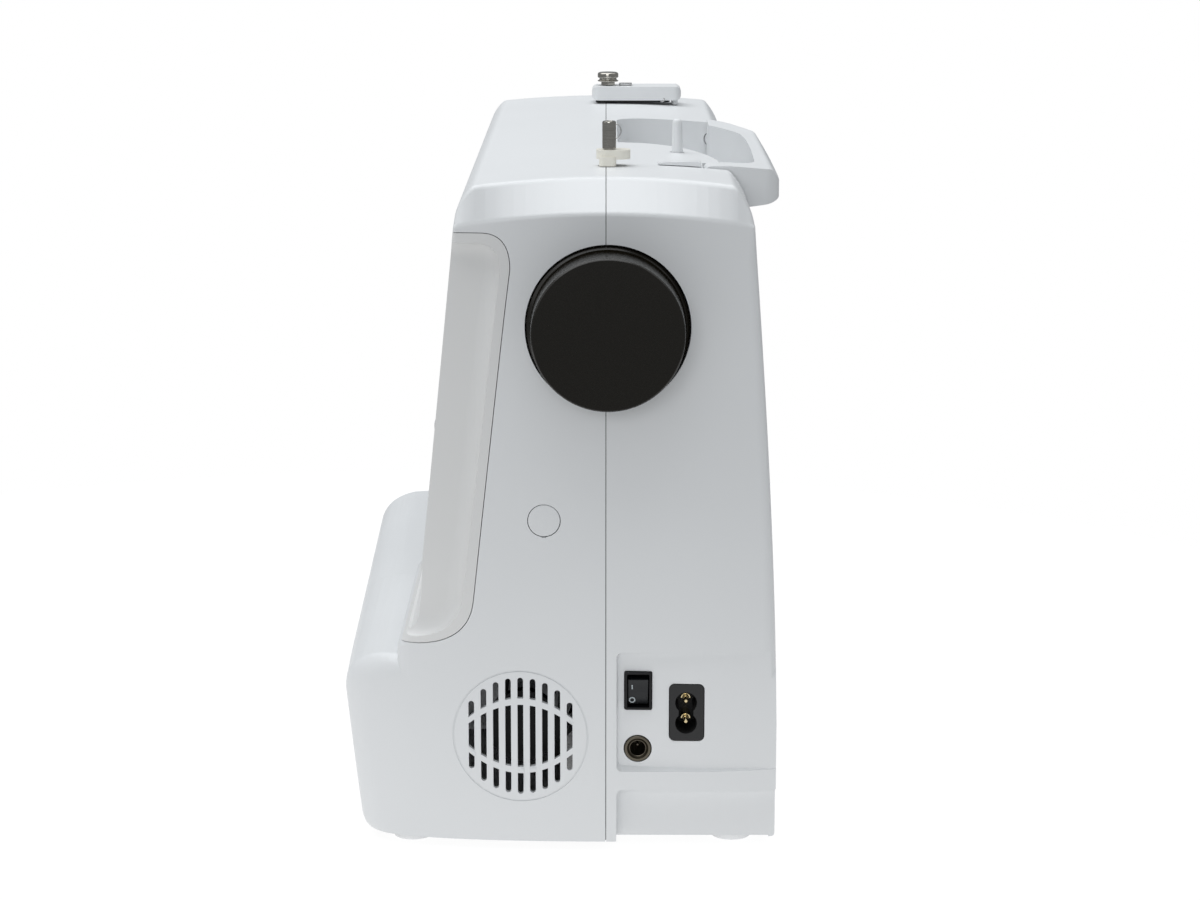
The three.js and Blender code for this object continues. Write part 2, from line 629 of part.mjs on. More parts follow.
// A bow handle seen from above, folded down behind the arm, with a round boss and a pin on each end.
function carryHandle() {
  const { y, z, boss, near, far } = HANDLE;
  const shape = new THREE.Shape();
  shape.moveTo(near, 48);
  shape.lineTo(near, 66);
  shape.quadraticCurveTo(near - 0.4, 71, near - 7, 71.6);
  shape.splineThru([
    new THREE.Vector2(-104, 73),
    new THREE.Vector2(-160, 73.6),
    new THREE.Vector2(-196, 72.8),
    new THREE.Vector2(-220, 68.4),
    new THREE.Vector2(-244, 60.4),
  ]);
  shape.quadraticCurveTo(-258, 56, far, 48);
  shape.lineTo(-234, 48);
  shape.splineThru([
    new THREE.Vector2(-225, 52.4),
    new THREE.Vector2(-208, 59.6),
    new THREE.Vector2(-190, 62.2),
    new THREE.Vector2(-147, 63),
    new THREE.Vector2(-90, 62.4),
  ]);
  shape.quadraticCurveTo(-76, 62.2, -76, 51);
  shape.lineTo(-76, 48);
  shape.closePath();
  const section = polygon([
    [40, 252], [58, 253.2], [67.6, 254.6], [70.8, 256.4], [73.6, 260.6],
    [71.2, 267.6], [69.4, 268.6], [51, 270.2], [40, 270.2],
  ]);
  const bow = alongZ(shape, 250, 272, 4).intersect(alongX(section, -300, 0));
  const bosses = [[near - 15, near], [far, far + 16]].map(([x0, x1]) => rod(X, [0, y, z], boss, x0, x1, 24));
  const pinEnds = [[near - 3, near + 6], [far - 5.5, far + 12]];
  const pins = pinEnds.map(([x0, x1]) => rod(X, [0, y, z], 3, x0, x1, 16));
  return joined(bow, ...bosses, ...pins);
}

// ---------------------------------------------------------------- needle area
function needlePlate() {
  const plate = box(-361.4, -304.6, -12.6, 38.4, 73.2, BED_TOP);
  const slots = [-342, -331].map((x) => box(x, x + 3.4, 0, 16, 60, 90));
  const hole = box(NEEDLE.x - 3.5, NEEDLE.x + 3.5, NEEDLE.y - 1.5, NEEDLE.y + 1.5, 60, 90);
  return without(plate, ...slots, hole);
}

function bobbinCover() {
  return alongZ(roundedRectangle(-361.4, -304.6, -38.4, -13.2, 2), 73.2, BED_TOP, 3);
}

function feedDog() {
  const bars = [-342, -331].map((x) => box(x + 0.6, x + 2.8, 2, 14, 68, 75));
  return joined(box(-343, -326, 2, 14, 64, 69), ...bars);
}

function rotaryHook() {
  const profile = [[0, 44], [3, 44], [3, 50], [17, 50], [17, 66], [15.6, 66], [15.6, 52], [0, 52]];
  return turned(Z, [HOOK.x, HOOK.y, 0], profile, 32);
}

function bobbinCase() {
  const profile = [
    [0, 52.6], [14.8, 52.6], [14.8, 67.4], [11.4, 67.4], [11.4, 54.6], [2.2, 54.6], [2.2, 60], [0, 60],
  ];
  return turned(Z, [HOOK.x, HOOK.y, 0], profile, 28);
}

function bobbin() {
  const profile = [
    [2.8, 55.2], [10.2, 55.2], [10.2, 56.4], [3.8, 56.4], [3.8, 65.5],
    [10.2, 65.5], [10.2, 66.7], [2.8, 66.7], [2.8, 55.2],
  ];
  return turned(Z, [HOOK.x, HOOK.y, 0], profile, 24);
}

function needleBar() {
  const { x, y } = NEEDLE;
  const clamp = box(x - 5, x + 4.6, y - 4, y + 4, 120, 130);
  const bar = rod(Z, [x, y, 0], 3.2, 122, 236, 16);
  const screwHole = rod(X, [x, y, 125], 1.5, -9, -3.4, 10);
  return without(joined(clamp, bar), rod(Z, [x, y, 0], 1.4, 100, 128, 12), screwHole);
}

function needle() {
  const profile = [[0, 89], [0.45, 92], [0.45, 115], [1.05, 117], [1.05, 127], [0, 127]];
  return turned(Z, [NEEDLE.x, NEEDLE.y, 0], profile, 12);
}

function clampScrew() {
  const { x, y } = NEEDLE;
  return turned(X, [x, y, 125], [[0, -12], [3.6, -12], [3.6, -5.4], [1.2, -5.4], [1.2, -3.8], [0, -3.8]], 14);
}

function presserBar() {
  return joined(rod(Z, [NEEDLE.x, PRESSER.y, 0], 3, 92, 196, 16), box(-338, -332, 16, 21.5, 131.5, 137.5));
}

function presserFoot() {
  const { x } = NEEDLE;
  const sole = box(x - 9, x + 9, -12, 14, 76, 78.4);
  const slot = box(x - 3.5, x + 3.5, -8, -0.5, 70, 80);
  const shank = box(x - 3.6, x + 3.6, 5, 11, 78, 91.6);
  const grip = box(x - 4.4, x + 4.4, 5, 17.6, 84, 91.6);
  return without(joined(sole, shank, grip), slot);
}

function presserLever() {
  const side = polygon([
    [22, 124], [30, 121], [58, 104], [62, 106], [62, 110], [34, 129], [28, 134], [22, 132],
  ]);
  return alongX(side, -341, -329);
}

function takeUpLever() {
  const arm = polygon([[-12, 216], [-58, 206], [-59, 209], [-14, 224], [-8, 222], [-8, 218]]);
  return alongX(arm, -346, -342.4);
}

function ledLamp() {
  return joined(box(-312.4, -302.6, -35.4, -24.6, 118.4, 123), box(-316, -301, -38, -22, 121, 125));
}

// ---------------------------------------------------------------- inside
function upperShaft() {
  const { y, z, radius } = SHAFT;
  const profile = [
    [0, -327], [8.6, -327], [8.6, -322], [radius, -322], [radius, -56], [11, -56], [11, -46], [radius, -46],
    [radius, -30], [24, -30], [24, -23], [radius, -23], [radius, -5], [0, -5],
  ];
  return turned(X, [0, y, z], profile, 24);
}

function lowerShaft() {
  const { y, z } = LOWER_SHAFT;
  const profile = [
    [0, -322], [8, -322], [8, -312], [3.5, -312], [3.5, -56],
    [11, -56], [11, -46], [3.5, -46], [3.5, -40], [0, -40],
  ];
  return turned(X, [0, y, z], profile, 20);
}

// A flat belt round two pulleys whose axes lie along X.
function belt(a, radiusA, b, radiusB, thickness, x0, x1) {
  const hullOf = (grow) => {
    const shape = new THREE.Shape();
    const angle = Math.atan2(b.z - a.z, b.y - a.y);
    const distance = Math.hypot(b.z - a.z, b.y - a.y);
    const lean = Math.acos((radiusA - radiusB) / distance);
    shape.absarc(a.y, a.z, radiusA + grow, angle + lean, angle - lean + Math.PI * 2);
    shape.absarc(b.y, b.z, radiusB + grow, angle - lean, angle + lean);
    shape.closePath();
    return alongX(shape, x0, x1, 8);
  };
  return hullOf(GAP + thickness).subtract(hullOf(GAP));
}

const timingBelt = () => belt(LOWER_SHAFT, 11.2, SHAFT, 11.2, 1.6, -55, -47);
const driveBelt = () => belt(MOTOR, 7.2, SHAFT, 24.4, 1.8, -29.5, -23.5);

function motor() {
  const { y, z, radius } = MOTOR;
  const profile = [[0, -98], [6, -98], [6, -92], [radius, -92], [radius, -60], [6, -60], [6, -34], [0, -34]];
  return turned(X, [0, y, z], profile, 20);
}

function motorPulley() {
  const { y, z } = MOTOR;
  const profile = [
    [0, -31], [9, -31], [9, -29.9], [7, -29.9], [7, -23.1],
    [9, -23.1], [9, -22], [15, -20], [15, -14], [0, -14],
  ];
  return turned(X, [0, y, z], profile, 24);
}

// One casting carries the shafts' bearings in the arm, the column and the free arm.
function mainFrame() {
  const arm = box(-330, -60, 10, 15, 192, 230);
  const column = box(-140, -98, 10, 42, 5, 192.5);
  const bed = box(-352, -60, 10, 15, 5, 38);
  const upperBearings = [-304, -196, -74].map((x) => box(x, x + 12, -9, 11, 203, 223));
  const lowerBearings = [-296, -160, -74].map((x) => box(x, x + 12, -16, 11, 12, 36));
  const motorPlate = box(-108, -101, -58, 11, 20, 70);
  const barGuides = [144, 178].map((z) => box(-342, -328, -9, 22, z, z + 10));
  const head = box(-342, -329.8, 18, 22, 144, 230).add(box(-342, -329, 10, 22, 200, 230));
  const cuts = [
    rod(X, [0, SHAFT.y, SHAFT.z], SHAFT.radius + 0.5, -345, -20, 12),
    rod(X, [0, LOWER_SHAFT.y, LOWER_SHAFT.z], 4, -330, -20, 12),
    rod(Z, [NEEDLE.x, NEEDLE.y, 0], 3.8, 60, 250, 12),
    rod(Z, [NEEDLE.x, PRESSER.y, 0], 3.6, 60, 206, 12),
    rod(X, [0, MOTOR.y, MOTOR.z], 7, -110, -90, 12),
  ];
  const bearings = [...upperBearings, ...lowerBearings, ...barGuides];
  const casting = joined(arm, column, bed, motorPlate, head, ...bearings);
  return without(casting, ...cuts);
}

const rubberFoot = (x, y) => turned(Z, [x, y, 0], [[0, -FOOT_HEIGHT], [8, -FOOT_HEIGHT], [9, 0], [0, 0]], 20);

// ---------------------------------------------------------------- assembly
const machine = new THREE.Group();

function add(name, body, material) {
  const { vertProperties, triVerts } = body.getMesh();
  const geometry = new THREE.BufferGeometry();
  geometry.setAttribute("position", new THREE.BufferAttribute(new Float32Array(vertProperties), 3));
  geometry.setIndex(new THREE.BufferAttribute(new Uint32Array(triVerts), 1));
  geometry.computeVertexNormals();
  const mesh = new THREE.Mesh(geometry, material);
  mesh.name = name;
  machine.add(mesh);
}

add("front_cover", frontCover(), WHITE);
add("rear_cover", rearCover(), WHITE);
add("face_cover", faceCover(), WHITE);
add("free_arm_cover", freeArmCover(), WHITE);
add("base_plate", basePlate(), GREY);
add("accessory_box", accessoryBox(), WHITE);
add("front_panel", frontPanel(), WARM_WHITE);
add("lcd_lens", lcdLens(), CLEAR);
add("circuit_board", circuitBoard(), GREEN);
KEYS.x.forEach((x, i) => add(`pattern_key_${i + 1}`, patternKey(x), GREY));
["start_stop_button", "reverse_button", "needle_position_button"].forEach((name, i) => {
  add(name, operationButton(OPERATION_BUTTONS[i]), GREY);
});
add("speed_slider", speedSlider(), GREY);
add("tension_dial", tensionDial(), WARM_WHITE);
add("handwheel", handwheel(), DARK);
add("belt_cap", beltCap(), WHITE);
add("switch_housing", switchHousing(), BLACK);
add("power_rocker", powerRocker(), BLACK);
add("inlet_housing", inletHousing(), BLACK);
add("inlet_pin_lower", inletPin(-1), BRASS);
add("inlet_pin_upper", inletPin(1), BRASS);
add("foot_jack", footJack(), BLACK);
add("winder_seat", winderSeat(), CREAM);
add("winder_shaft", winderShaft(), CHROME);
add("winder_spring", winderSpring(), STEEL);
add("thread_cutter", threadCutter(), WHITE);
add("spool_pin", spoolPin(), WHITE);
add("thread_guide_bar", threadGuideBar(), WHITE);
add("pretension_knob", pretensionKnob(), CHROME);
add("guide_plate", guidePlate(), STEEL);
add("carry_handle", carryHandle(), WHITE);
add("needle_plate", needlePlate(), STEEL);
add("bobbin_cover", bobbinCover(), CLEAR);
add("feed_dog", feedDog(), STEEL);
add("rotary_hook", rotaryHook(), STEEL);
add("bobbin_case", bobbinCase(), BLACK);
add("bobbin", bobbin(), CLEAR);
add("needle_bar", needleBar(), STEEL);
add("needle", needle(), CHROME);
add("needle_clamp_screw", clampScrew(), STEEL);
add("presser_bar", presserBar(), STEEL);
add("presser_foot", presserFoot(), STEEL);
add("presser_lever", presserLever(), GREY);
add("take_up_lever", takeUpLever(), STEEL);
add("led_lamp", ledLamp(), CLEAR);
add("main_frame", mainFrame(), CASTING);
add("upper_shaft", upperShaft(), STEEL);
add("lower_shaft", lowerShaft(), STEEL);
add("timing_belt", timingBelt(), RUBBER);
add("drive_belt", driveBelt(), RUBBER);
add("motor", motor(), GREY);
add("motor_pulley", motorPulley(), BLACK);
[[-22, -80], [-22, 52], [-352, -28], [-352, 28]].forEach(([x, y], i) => {
  add(`rubber_foot_${i + 1}`, rubberFoot(x, y), RUBBER);
});

// The origin is under the middle of the whole machine, on the surface that it stands on.
const extent = new THREE.Box3().setFromObject(machine);
const middle = extent.getCenter(new THREE.Vector3());
machine.position.set(-middle.x, -middle.y, -extent.min.z);

const group = new THREE.Group();
group.add(machine);
export default group;
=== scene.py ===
import json
import math

import bmesh
import bpy
from mathutils import Matrix, Vector


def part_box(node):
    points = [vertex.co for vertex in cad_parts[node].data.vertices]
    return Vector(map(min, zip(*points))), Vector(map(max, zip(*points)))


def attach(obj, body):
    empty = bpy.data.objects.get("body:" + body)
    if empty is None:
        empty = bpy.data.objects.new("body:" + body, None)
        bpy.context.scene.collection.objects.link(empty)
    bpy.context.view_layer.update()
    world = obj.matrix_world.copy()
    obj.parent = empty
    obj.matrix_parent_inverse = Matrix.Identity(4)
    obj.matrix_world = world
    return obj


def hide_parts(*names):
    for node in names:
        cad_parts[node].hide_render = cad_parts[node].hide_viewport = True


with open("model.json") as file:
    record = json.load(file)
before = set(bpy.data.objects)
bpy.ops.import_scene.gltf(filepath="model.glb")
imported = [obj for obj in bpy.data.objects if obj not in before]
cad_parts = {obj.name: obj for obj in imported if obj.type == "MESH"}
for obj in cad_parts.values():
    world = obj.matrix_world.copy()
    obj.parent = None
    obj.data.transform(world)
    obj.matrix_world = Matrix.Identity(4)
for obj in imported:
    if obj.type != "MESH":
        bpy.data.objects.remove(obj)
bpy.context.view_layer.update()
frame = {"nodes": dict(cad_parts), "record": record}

# ------------------------------------------------------------------ machine coordinates
# Shapes are drawn in millimetres in the machine's own axes: x = 0 is the right-hand end face and the body
# runs towards -x, y = 0 is the seam between the covers, z = 0 is the bottom edge of the covers.
FOOT = 4.0
SEAM = 0.15
END_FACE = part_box("front_cover")[1][0]
SEAM_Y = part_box("front_cover")[1][1] + SEAM / 1000
LENGTH = 388.0
WALL = 2.6
GAP = 0.3
BED_TOP = 75.5
MM = 0.001


def to_row(x, y, z):
    """A point in the machine's millimetres as a point in the row frame, in metres."""
    return Vector((END_FACE + x * MM, SEAM_Y + y * MM, (z + FOOT) * MM))


# ------------------------------------------------------------------ camera, light and floor
CAMERA_BEYOND_END = 1170.0
CAMERA_HEIGHT = 406.0
CAMERA_PITCH = math.radians(11.7)
CAMERA_YAW = math.radians(0.115)


def make_camera():
    data = bpy.data.cameras.new("camera")
    data.lens = 90
    data.sensor_width = 36
    data.clip_end = 50
    camera = bpy.data.objects.new("camera", data)
    bpy.context.collection.objects.link(camera)
    camera.location = to_row(CAMERA_BEYOND_END, 0, CAMERA_HEIGHT)
    camera.rotation_euler = (math.pi / 2 - CAMERA_PITCH, 0, math.pi / 2 + CAMERA_YAW)
    bpy.context.scene.camera = camera


def area_light(name, place, target, size, power, colour=(1, 1, 1)):
    data = bpy.data.lights.new(name, "AREA")
    data.shape = "RECTANGLE"
    data.size, data.size_y = size
    data.energy = power
    data.color = colour
    lamp = bpy.data.objects.new(name, data)
    bpy.context.collection.objects.link(lamp)
    lamp.location = place
    lamp.rotation_euler = (Vector(target) - Vector(place)).to_track_quat("-Z", "Y").to_euler()


def make_world():
    """A dim room for the light, and plain white where the camera sees past the floor."""
    world = bpy.data.worlds.new("studio")
    world.use_nodes = True
    tree = world.node_tree
    room = tree.nodes["Background"]
    room.inputs["Color"].default_value = (0.94, 0.97, 1.0, 1)
    room.inputs["Strength"].default_value = 0.32
    paper = tree.nodes.new("ShaderNodeBackground")
    paper.inputs["Color"].default_value = (1, 1, 1, 1)
    paper.inputs["Strength"].default_value = 1.0
    rays = tree.nodes.new("ShaderNodeLightPath")
    blend = tree.nodes.new("ShaderNodeMixShader")
    tree.links.new(rays.outputs["Is Camera Ray"], blend.inputs["Fac"])
    tree.links.new(room.outputs["Background"], blend.inputs[1])
    tree.links.new(paper.outputs["Background"], blend.inputs[2])
    tree.links.new(blend.outputs["Shader"], tree.nodes["World Output"].inputs["Surface"])
    bpy.context.scene.world = world


def make_studio():
    make_world()
    bpy.context.scene.view_settings.view_transform = "Standard"
    area_light("top_softbox", (-0.15, -0.35, 1.5), (-0.1, -0.2, 0), (1.9, 1.8), 22, (0.97, 0.985, 1.0))
    area_light("end_fill", (2.2, -0.3, 0.8), (0.18, 0, 0.2), (1.2, 0.6), 7.5, (0.97, 0.985, 1.0))
    area_light("front_fill", (0.3, -2.0, 1.1), (0, 0, 0.15), (1.4, 1.0), 3.4)
    area_light("rear_fill", (-0.2, 1.6, 1.8), (0, 0, 0.2), (1.4, 1.0), 4)


def make_floor():
    radius = 0.56
    bm = bmesh.new()
    bmesh.ops.create_circle(bm, cap_ends=True, radius=radius, segments=96)
    mesh = bpy.data.meshes.new("floor")
    bm.to_mesh(mesh)
    bm.free()
    floor = bpy.data.objects.new("floor", mesh)
    bpy.context.collection.objects.link(floor)
    floor.location = (0, -0.08, 0)
    material = bpy.data.materials.new("floor_paper")
    material.use_nodes = True
    shader = material.node_tree.nodes["Principled BSDF"]
    shader.inputs["Base Color"].default_value = (0.1, 0.1, 0.1, 1)
    shader.inputs["Roughness"].default_value = 0.9
    shader.inputs["Specular IOR Level"].default_value = 0.0
    shader.inputs["Emission Color"].default_value = (1, 1, 1, 1)
    shader.inputs["Emission Strength"].default_value = 0.95
    mesh.materials.append(material)


make_camera()
make_studio()
make_floor()

# ------------------------------------------------------------------ mesh helpers
def mix(p, q, t):
    return tuple(a + (b - a) * t for a, b in zip(p, q))


def bezier(p, q, r, t):
    return mix(mix(p, q, t), mix(q, r, t), t)


def catmull_rom(a, b, c, d, t):
    """A number between b and c at t, on the smooth curve that also heeds a and d."""
    return 0.5 * (2 * b + (c - a) * t + (2 * a - 5 * b + 4 * c - d) * t * t
                  + (3 * b - a - 3 * c + d) * t ** 3)


class Outline:
    """A closed outline drawn with lines, arcs and curves, in two of the machine's axes."""

    def __init__(self, a, b, fine=12):
        self.points = [(a, b)]
        self.fine = fine
        self.corners = []

    def line(self, *points):
        self.points.extend(points)
        return self

    def curve(self, control, end):
        start = self.points[-1]
        self.points += [bezier(start, control, end, i / self.fine) for i in range(1, self.fine + 1)]
        return self

    def arc(self, centre, radius, start, end, steps=None):
        steps = steps or self.fine
        for i in range(steps + 1):
            angle = math.radians(start + (end - start) * i / steps)
            point = (centre[0] + radius * math.cos(angle), centre[1] + radius * math.sin(angle))
            if math.dist(point, self.points[-1]) > 1e-4:
                self.points.append(point)
        return self

    def spline(self, *through):
        """A Catmull-Rom curve from the last point through the given ones."""
        knots = [self.points[-1], *through]
        padded = [knots[0], *knots, knots[-1]]
        for i in range(1, len(padded) - 2):
            p0, p1, p2, p3 = padded[i - 1:i + 3]
            for k in range(1, self.fine + 1):
                t = k / self.fine
                self.points.append(tuple(catmull_rom(a, b, c, d, t) for a, b, c, d in zip(p0, p1, p2, p3)))
        return self

    def eased(self, reach, steps=4):
        """Rounds the corner at the last point, once the next stretch is drawn."""
        self.corners.append((self.points[-1], reach, steps))
        return self

    def closed(self):
        points = self.points
        if math.dist(points[0], points[-1]) < 1e-4:
            points.pop()
        for corner, reach, steps in self.corners:
            near = [i for i, p in enumerate(points) if math.dist(p, corner) < reach]
            before, after = points[near[0] - 1], points[(near[-1] + 1) % len(points)]
            start = mix(corner, before, min(1, reach / math.dist(before, corner)))
            end = mix(corner, after, min(1, reach / math.dist(after, corner)))
            curve = [bezier(start, corner, end, k / steps) for k in range(steps + 1)]
            points = points[:near[0]] + curve + points[near[-1] + 1:]
        return points


def rounded_rectangle(a0, a1, b0, b1, r, steps=6):
    shape = Outline(a1, b0 + r)
    shape.arc((a1 - r, b1 - r), r, 0, 90, steps)
    shape.arc((a0 + r, b1 - r), r, 90, 180, steps)
    shape.arc((a0 + r, b0 + r), r, 180, 270, steps)
    shape.arc((a1 - r, b0 + r), r, 270, 360, steps)
    return shape.closed()


def circle(a, b, r, steps=48):
    return [(a + r * math.cos(2 * math.pi * i / steps), b + r * math.sin(2 * math.pi * i / steps))
            for i in range(steps)]


def bm_to_mesh(bm, name):
    bmesh.ops.recalc_face_normals(bm, faces=bm.faces)
    mesh = bpy.data.meshes.new(name)
    bm.to_mesh(mesh)
    bm.free()
    return mesh


AXES = {"x": (1, 2, 0), "y": (0, 2, 1), "z": (0, 1, 2)}  # outline axes and sweep axis


def prism(outline, axis, low, high):
    """An outline swept along one axis, as a mesh in millimetres."""
    first, second, sweep = AXES[axis]
    bm = bmesh.new()
    rings = []
    for level in (low, high):
        ring = []
        for a, b in outline:
            place = [0.0, 0.0, 0.0]
            place[first], place[second], place[sweep] = a, b, level
            ring.append(bm.verts.new(place))
        rings.append(ring)
    count = len(outline)
    for i in range(count):
        j = (i + 1) % count
        bm.faces.new((rings[0][i], rings[0][j], rings[1][j], rings[1][i]))
    bm.faces.new(rings[0])
    bm.faces.new(rings[1])
    return bm_to_mesh(bm, "prism")


def box(x0, x1, y0, y1, z0, z1):
    return prism([(x0, y0), (x1, y0), (x1, y1), (x0, y1)], "z", z0, z1)


def loft(rings):
    """A skin over rings of 3-D points with equal counts, closed by a flat face at each end."""
    bm = bmesh.new()
    skin = [[bm.verts.new(p) for p in ring] for ring in rings]
    count = len(rings[0])
    for lower, upper in zip(skin, skin[1:]):
        for i in range(count):
            j = (i + 1) % count
            bm.faces.new((lower[i], lower[j], upper[j], upper[i]))
    bm.faces.new(skin[0])
    bm.faces.new(skin[-1])
    return bm_to_mesh(bm, "loft")


def turned(profile, axis, centre, steps=64):
    """A profile of (radius, distance) pairs turned about an axis through centre. Its ends lie on the axis,
    or it closes on itself."""
    bm = bmesh.new()
    first, second, along = AXES[axis]
    loop = math.dist(profile[0], profile[-1]) < 1e-6
    pairs = profile[:-1] if loop else profile
    columns = []
    for radius, distance in pairs:
        column = []
        for i in range(steps if radius > 1e-6 else 1):
            angle = 2 * math.pi * i / steps
            place = [0.0, 0.0, 0.0]
            place[first] = centre[first] + radius * math.cos(angle)
            place[second] = centre[second] + radius * math.sin(angle)
            place[along] = centre[along] + distance
            column.append(bm.verts.new(place))
        columns.append(column)
    pairs_of_columns = list(zip(columns, columns[1:]))
    if loop:
        pairs_of_columns.append((columns[-1], columns[0]))
    for lower, upper in pairs_of_columns:
        for i in range(steps):
            j = (i + 1) % steps
            corners = [ring[k % len(ring)] for ring, k in ((lower, i), (lower, j), (upper, j), (upper, i))]
            corners = list(dict.fromkeys(corners))
            if len(corners) > 2:
                bm.faces.new(corners)
    return bm_to_mesh(bm, "turned")


def rod(axis, centre, radius, low, high, steps=48):
    return turned([(0, low), (radius, low), (radius, high), (0, high)], axis, centre, steps)


def combine(base, *steps):
    """Applies ("DIFFERENCE" | "UNION" | "INTERSECT", mesh) steps to a mesh with exact solids."""
    holder = bpy.data.objects.new("solid", base)
    bpy.context.collection.objects.link(holder)
    tools = []
    for operation, mesh in steps:
        tool = bpy.data.objects.new("tool", mesh)
        bpy.context.collection.objects.link(tool)
        tools.append(tool)
        modifier = holder.modifiers.new("step", "BOOLEAN")
        modifier.operation = operation
        modifier.solver = "MANIFOLD"
        modifier.object = tool
    graph = bpy.context.evaluated_depsgraph_get()
    result = bpy.data.meshes.new_from_object(holder.evaluated_get(graph), depsgraph=graph)
    for tool in tools:
        bpy.data.objects.remove(tool)
    bpy.data.objects.remove(holder)
    return result


def cut(base, *tools):
    return combine(base, *(("DIFFERENCE", t) for t in tools))


def join(base, *tools):
    return combine(base, *(("UNION", t) for t in tools))


def keep(base, *tools):
    return combine(base, *(("INTERSECT", t) for t in tools))


def copied(mesh):
    return mesh.copy()


def machine_to_row():
    return Matrix.Translation(to_row(0, 0, 0)) @ Matrix.Scale(MM, 4)


def finish_piece(name, mesh, body, material, nodes=(), bevel=0.0, segments=2, angle=35):
    """Puts a mesh in millimetres into the row frame as a piece that rides on a body."""
    mesh.transform(machine_to_row())
    mesh.name = name
    piece = bpy.data.objects.new(name, mesh)
    bpy.context.collection.objects.link(piece)
    mesh.materials.clear()
    mesh.materials.append(material)
    mesh.shade_smooth()
    mesh.set_sharp_from_angle(angle=math.radians(angle))
    if bevel:
        modifier = piece.modifiers.new("edges", "BEVEL")
        modifier.width = bevel * MM
        modifier.segments = segments
        modifier.limit_method = "ANGLE"
        modifier.angle_limit = math.radians(angle)
        modifier.harden_normals = True
        modifier.miter_outer = "MITER_ARC"
    weighted = piece.modifiers.new("normals", "WEIGHTED_NORMAL")
    weighted.keep_sharp = True
    weighted.weight = 50
    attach(piece, body)
    if nodes:
        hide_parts(*nodes)


# ------------------------------------------------------------------ materials
def new_material(name):
    material = bpy.data.materials.new(name)
    material.use_nodes = True
    tree = material.node_tree
    return material, tree, tree.nodes["Principled BSDF"]


def object_noise(tree, scale, detail=3.0, roughness=0.5):
    place = tree.nodes.new("ShaderNodeTexCoord")
    noise = tree.nodes.new("ShaderNodeTexNoise")
    noise.inputs["Scale"].default_value = scale
    noise.inputs["Detail"].default_value = detail
    noise.inputs["Roughness"].default_value = roughness
    tree.links.new(place.outputs["Object"], noise.inputs["Vector"])
    return noise


def ramp_between(tree, factor, low, high, start=0.35, end=0.65):
    ramp = tree.nodes.new("ShaderNodeValToRGB")
    ramp.color_ramp.elements[0].position = start
    ramp.color_ramp.elements[1].position = end
    ramp.color_ramp.elements[0].color = (*low, 1)
    ramp.color_ramp.elements[1].color = (*high, 1)
    tree.links.new(factor, ramp.inputs["Fac"])
    return ramp


def range_to(tree, value, low, high):
    remap = tree.nodes.new("ShaderNodeMapRange")
    remap.inputs["From Min"].default_value = 0.3
    remap.inputs["From Max"].default_value = 0.7
    remap.inputs["To Min"].default_value = low
    remap.inputs["To Max"].default_value = high
    tree.links.new(value, remap.inputs["Value"])
    return remap


def plastic(name, colour, roughness, grain=900.0, bump=0.03, drift=0.012, specular=0.5, coat=0.0):
    """Moulded plastic: a slow drift of tone, a fine spark-eroded grain and uneven gloss."""
    material, tree, shader = new_material(name)
    slow = object_noise(tree, 9.0, 2.0)
    low = tuple(max(0.0, c * (1 - drift * 2)) for c in colour)
    tone = ramp_between(tree, slow.outputs["Fac"], low, colour)
    tree.links.new(tone.outputs["Color"], shader.inputs["Base Color"])
    fine = object_noise(tree, grain, 2.0)
    gloss = range_to(tree, fine.outputs["Fac"], roughness * 0.9, roughness * 1.12)
    tree.links.new(gloss.outputs["Result"], shader.inputs["Roughness"])
    relief = tree.nodes.new("ShaderNodeBump")
    relief.inputs["Strength"].default_value = bump
    relief.inputs["Distance"].default_value = 0.0002
    tree.links.new(fine.outputs["Fac"], relief.inputs["Height"])
    tree.links.new(relief.outputs["Normal"], shader.inputs["Normal"])
    shader.inputs["Specular IOR Level"].default_value = specular
    shader.inputs["Coat Weight"].default_value = coat
    shader.inputs["Coat Roughness"].default_value = 0.12
    return material


def metal(name, colour, roughness, grain=(40.0, 40.0, 900.0), bump=0.05):
    """Metal with fine drawn or ground lines, stretched along one axis."""
    material, tree, shader = new_material(name)
    shader.inputs["Metallic"].default_value = 1.0
    place = tree.nodes.new("ShaderNodeTexCoord")
    stretch = tree.nodes.new("ShaderNodeMapping")
    stretch.inputs["Scale"].default_value = grain
    tree.links.new(place.outputs["Object"], stretch.inputs["Vector"])
    lines = tree.nodes.new("ShaderNodeTexNoise")
    lines.inputs["Scale"].default_value = 4.0
    lines.inputs["Detail"].default_value = 4.0
    tree.links.new(stretch.outputs["Vector"], lines.inputs["Vector"])
    tone = ramp_between(tree, lines.outputs["Fac"], tuple(c * 0.86 for c in colour), colour)
    tree.links.new(tone.outputs["Color"], shader.inputs["Base Color"])
    gloss = range_to(tree, lines.outputs["Fac"], roughness * 0.8, roughness * 1.25)
    tree.links.new(gloss.outputs["Result"], shader.inputs["Roughness"])
    relief = tree.nodes.new("ShaderNodeBump")
    relief.inputs["Strength"].default_value = bump
    relief.inputs["Distance"].default_value = 0.0001
    tree.links.new(lines.outputs["Fac"], relief.inputs["Height"])
    tree.links.new(relief.outputs["Normal"], shader.inputs["Normal"])
    return material


def clear_plastic(name, colour, roughness=0.08):
    material, tree, shader = new_material(name)
    shader.inputs["Base Color"].default_value = (*colour, 1)
    shader.inputs["Transmission Weight"].default_value = 0.92
    shader.inputs["IOR"].default_value = 1.49
    fine = object_noise(tree, 300.0)
    gloss = range_to(tree, fine.outputs["Fac"], roughness * 0.7, roughness * 1.4)
    tree.links.new(gloss.outputs["Result"], shader.inputs["Roughness"])
    return material


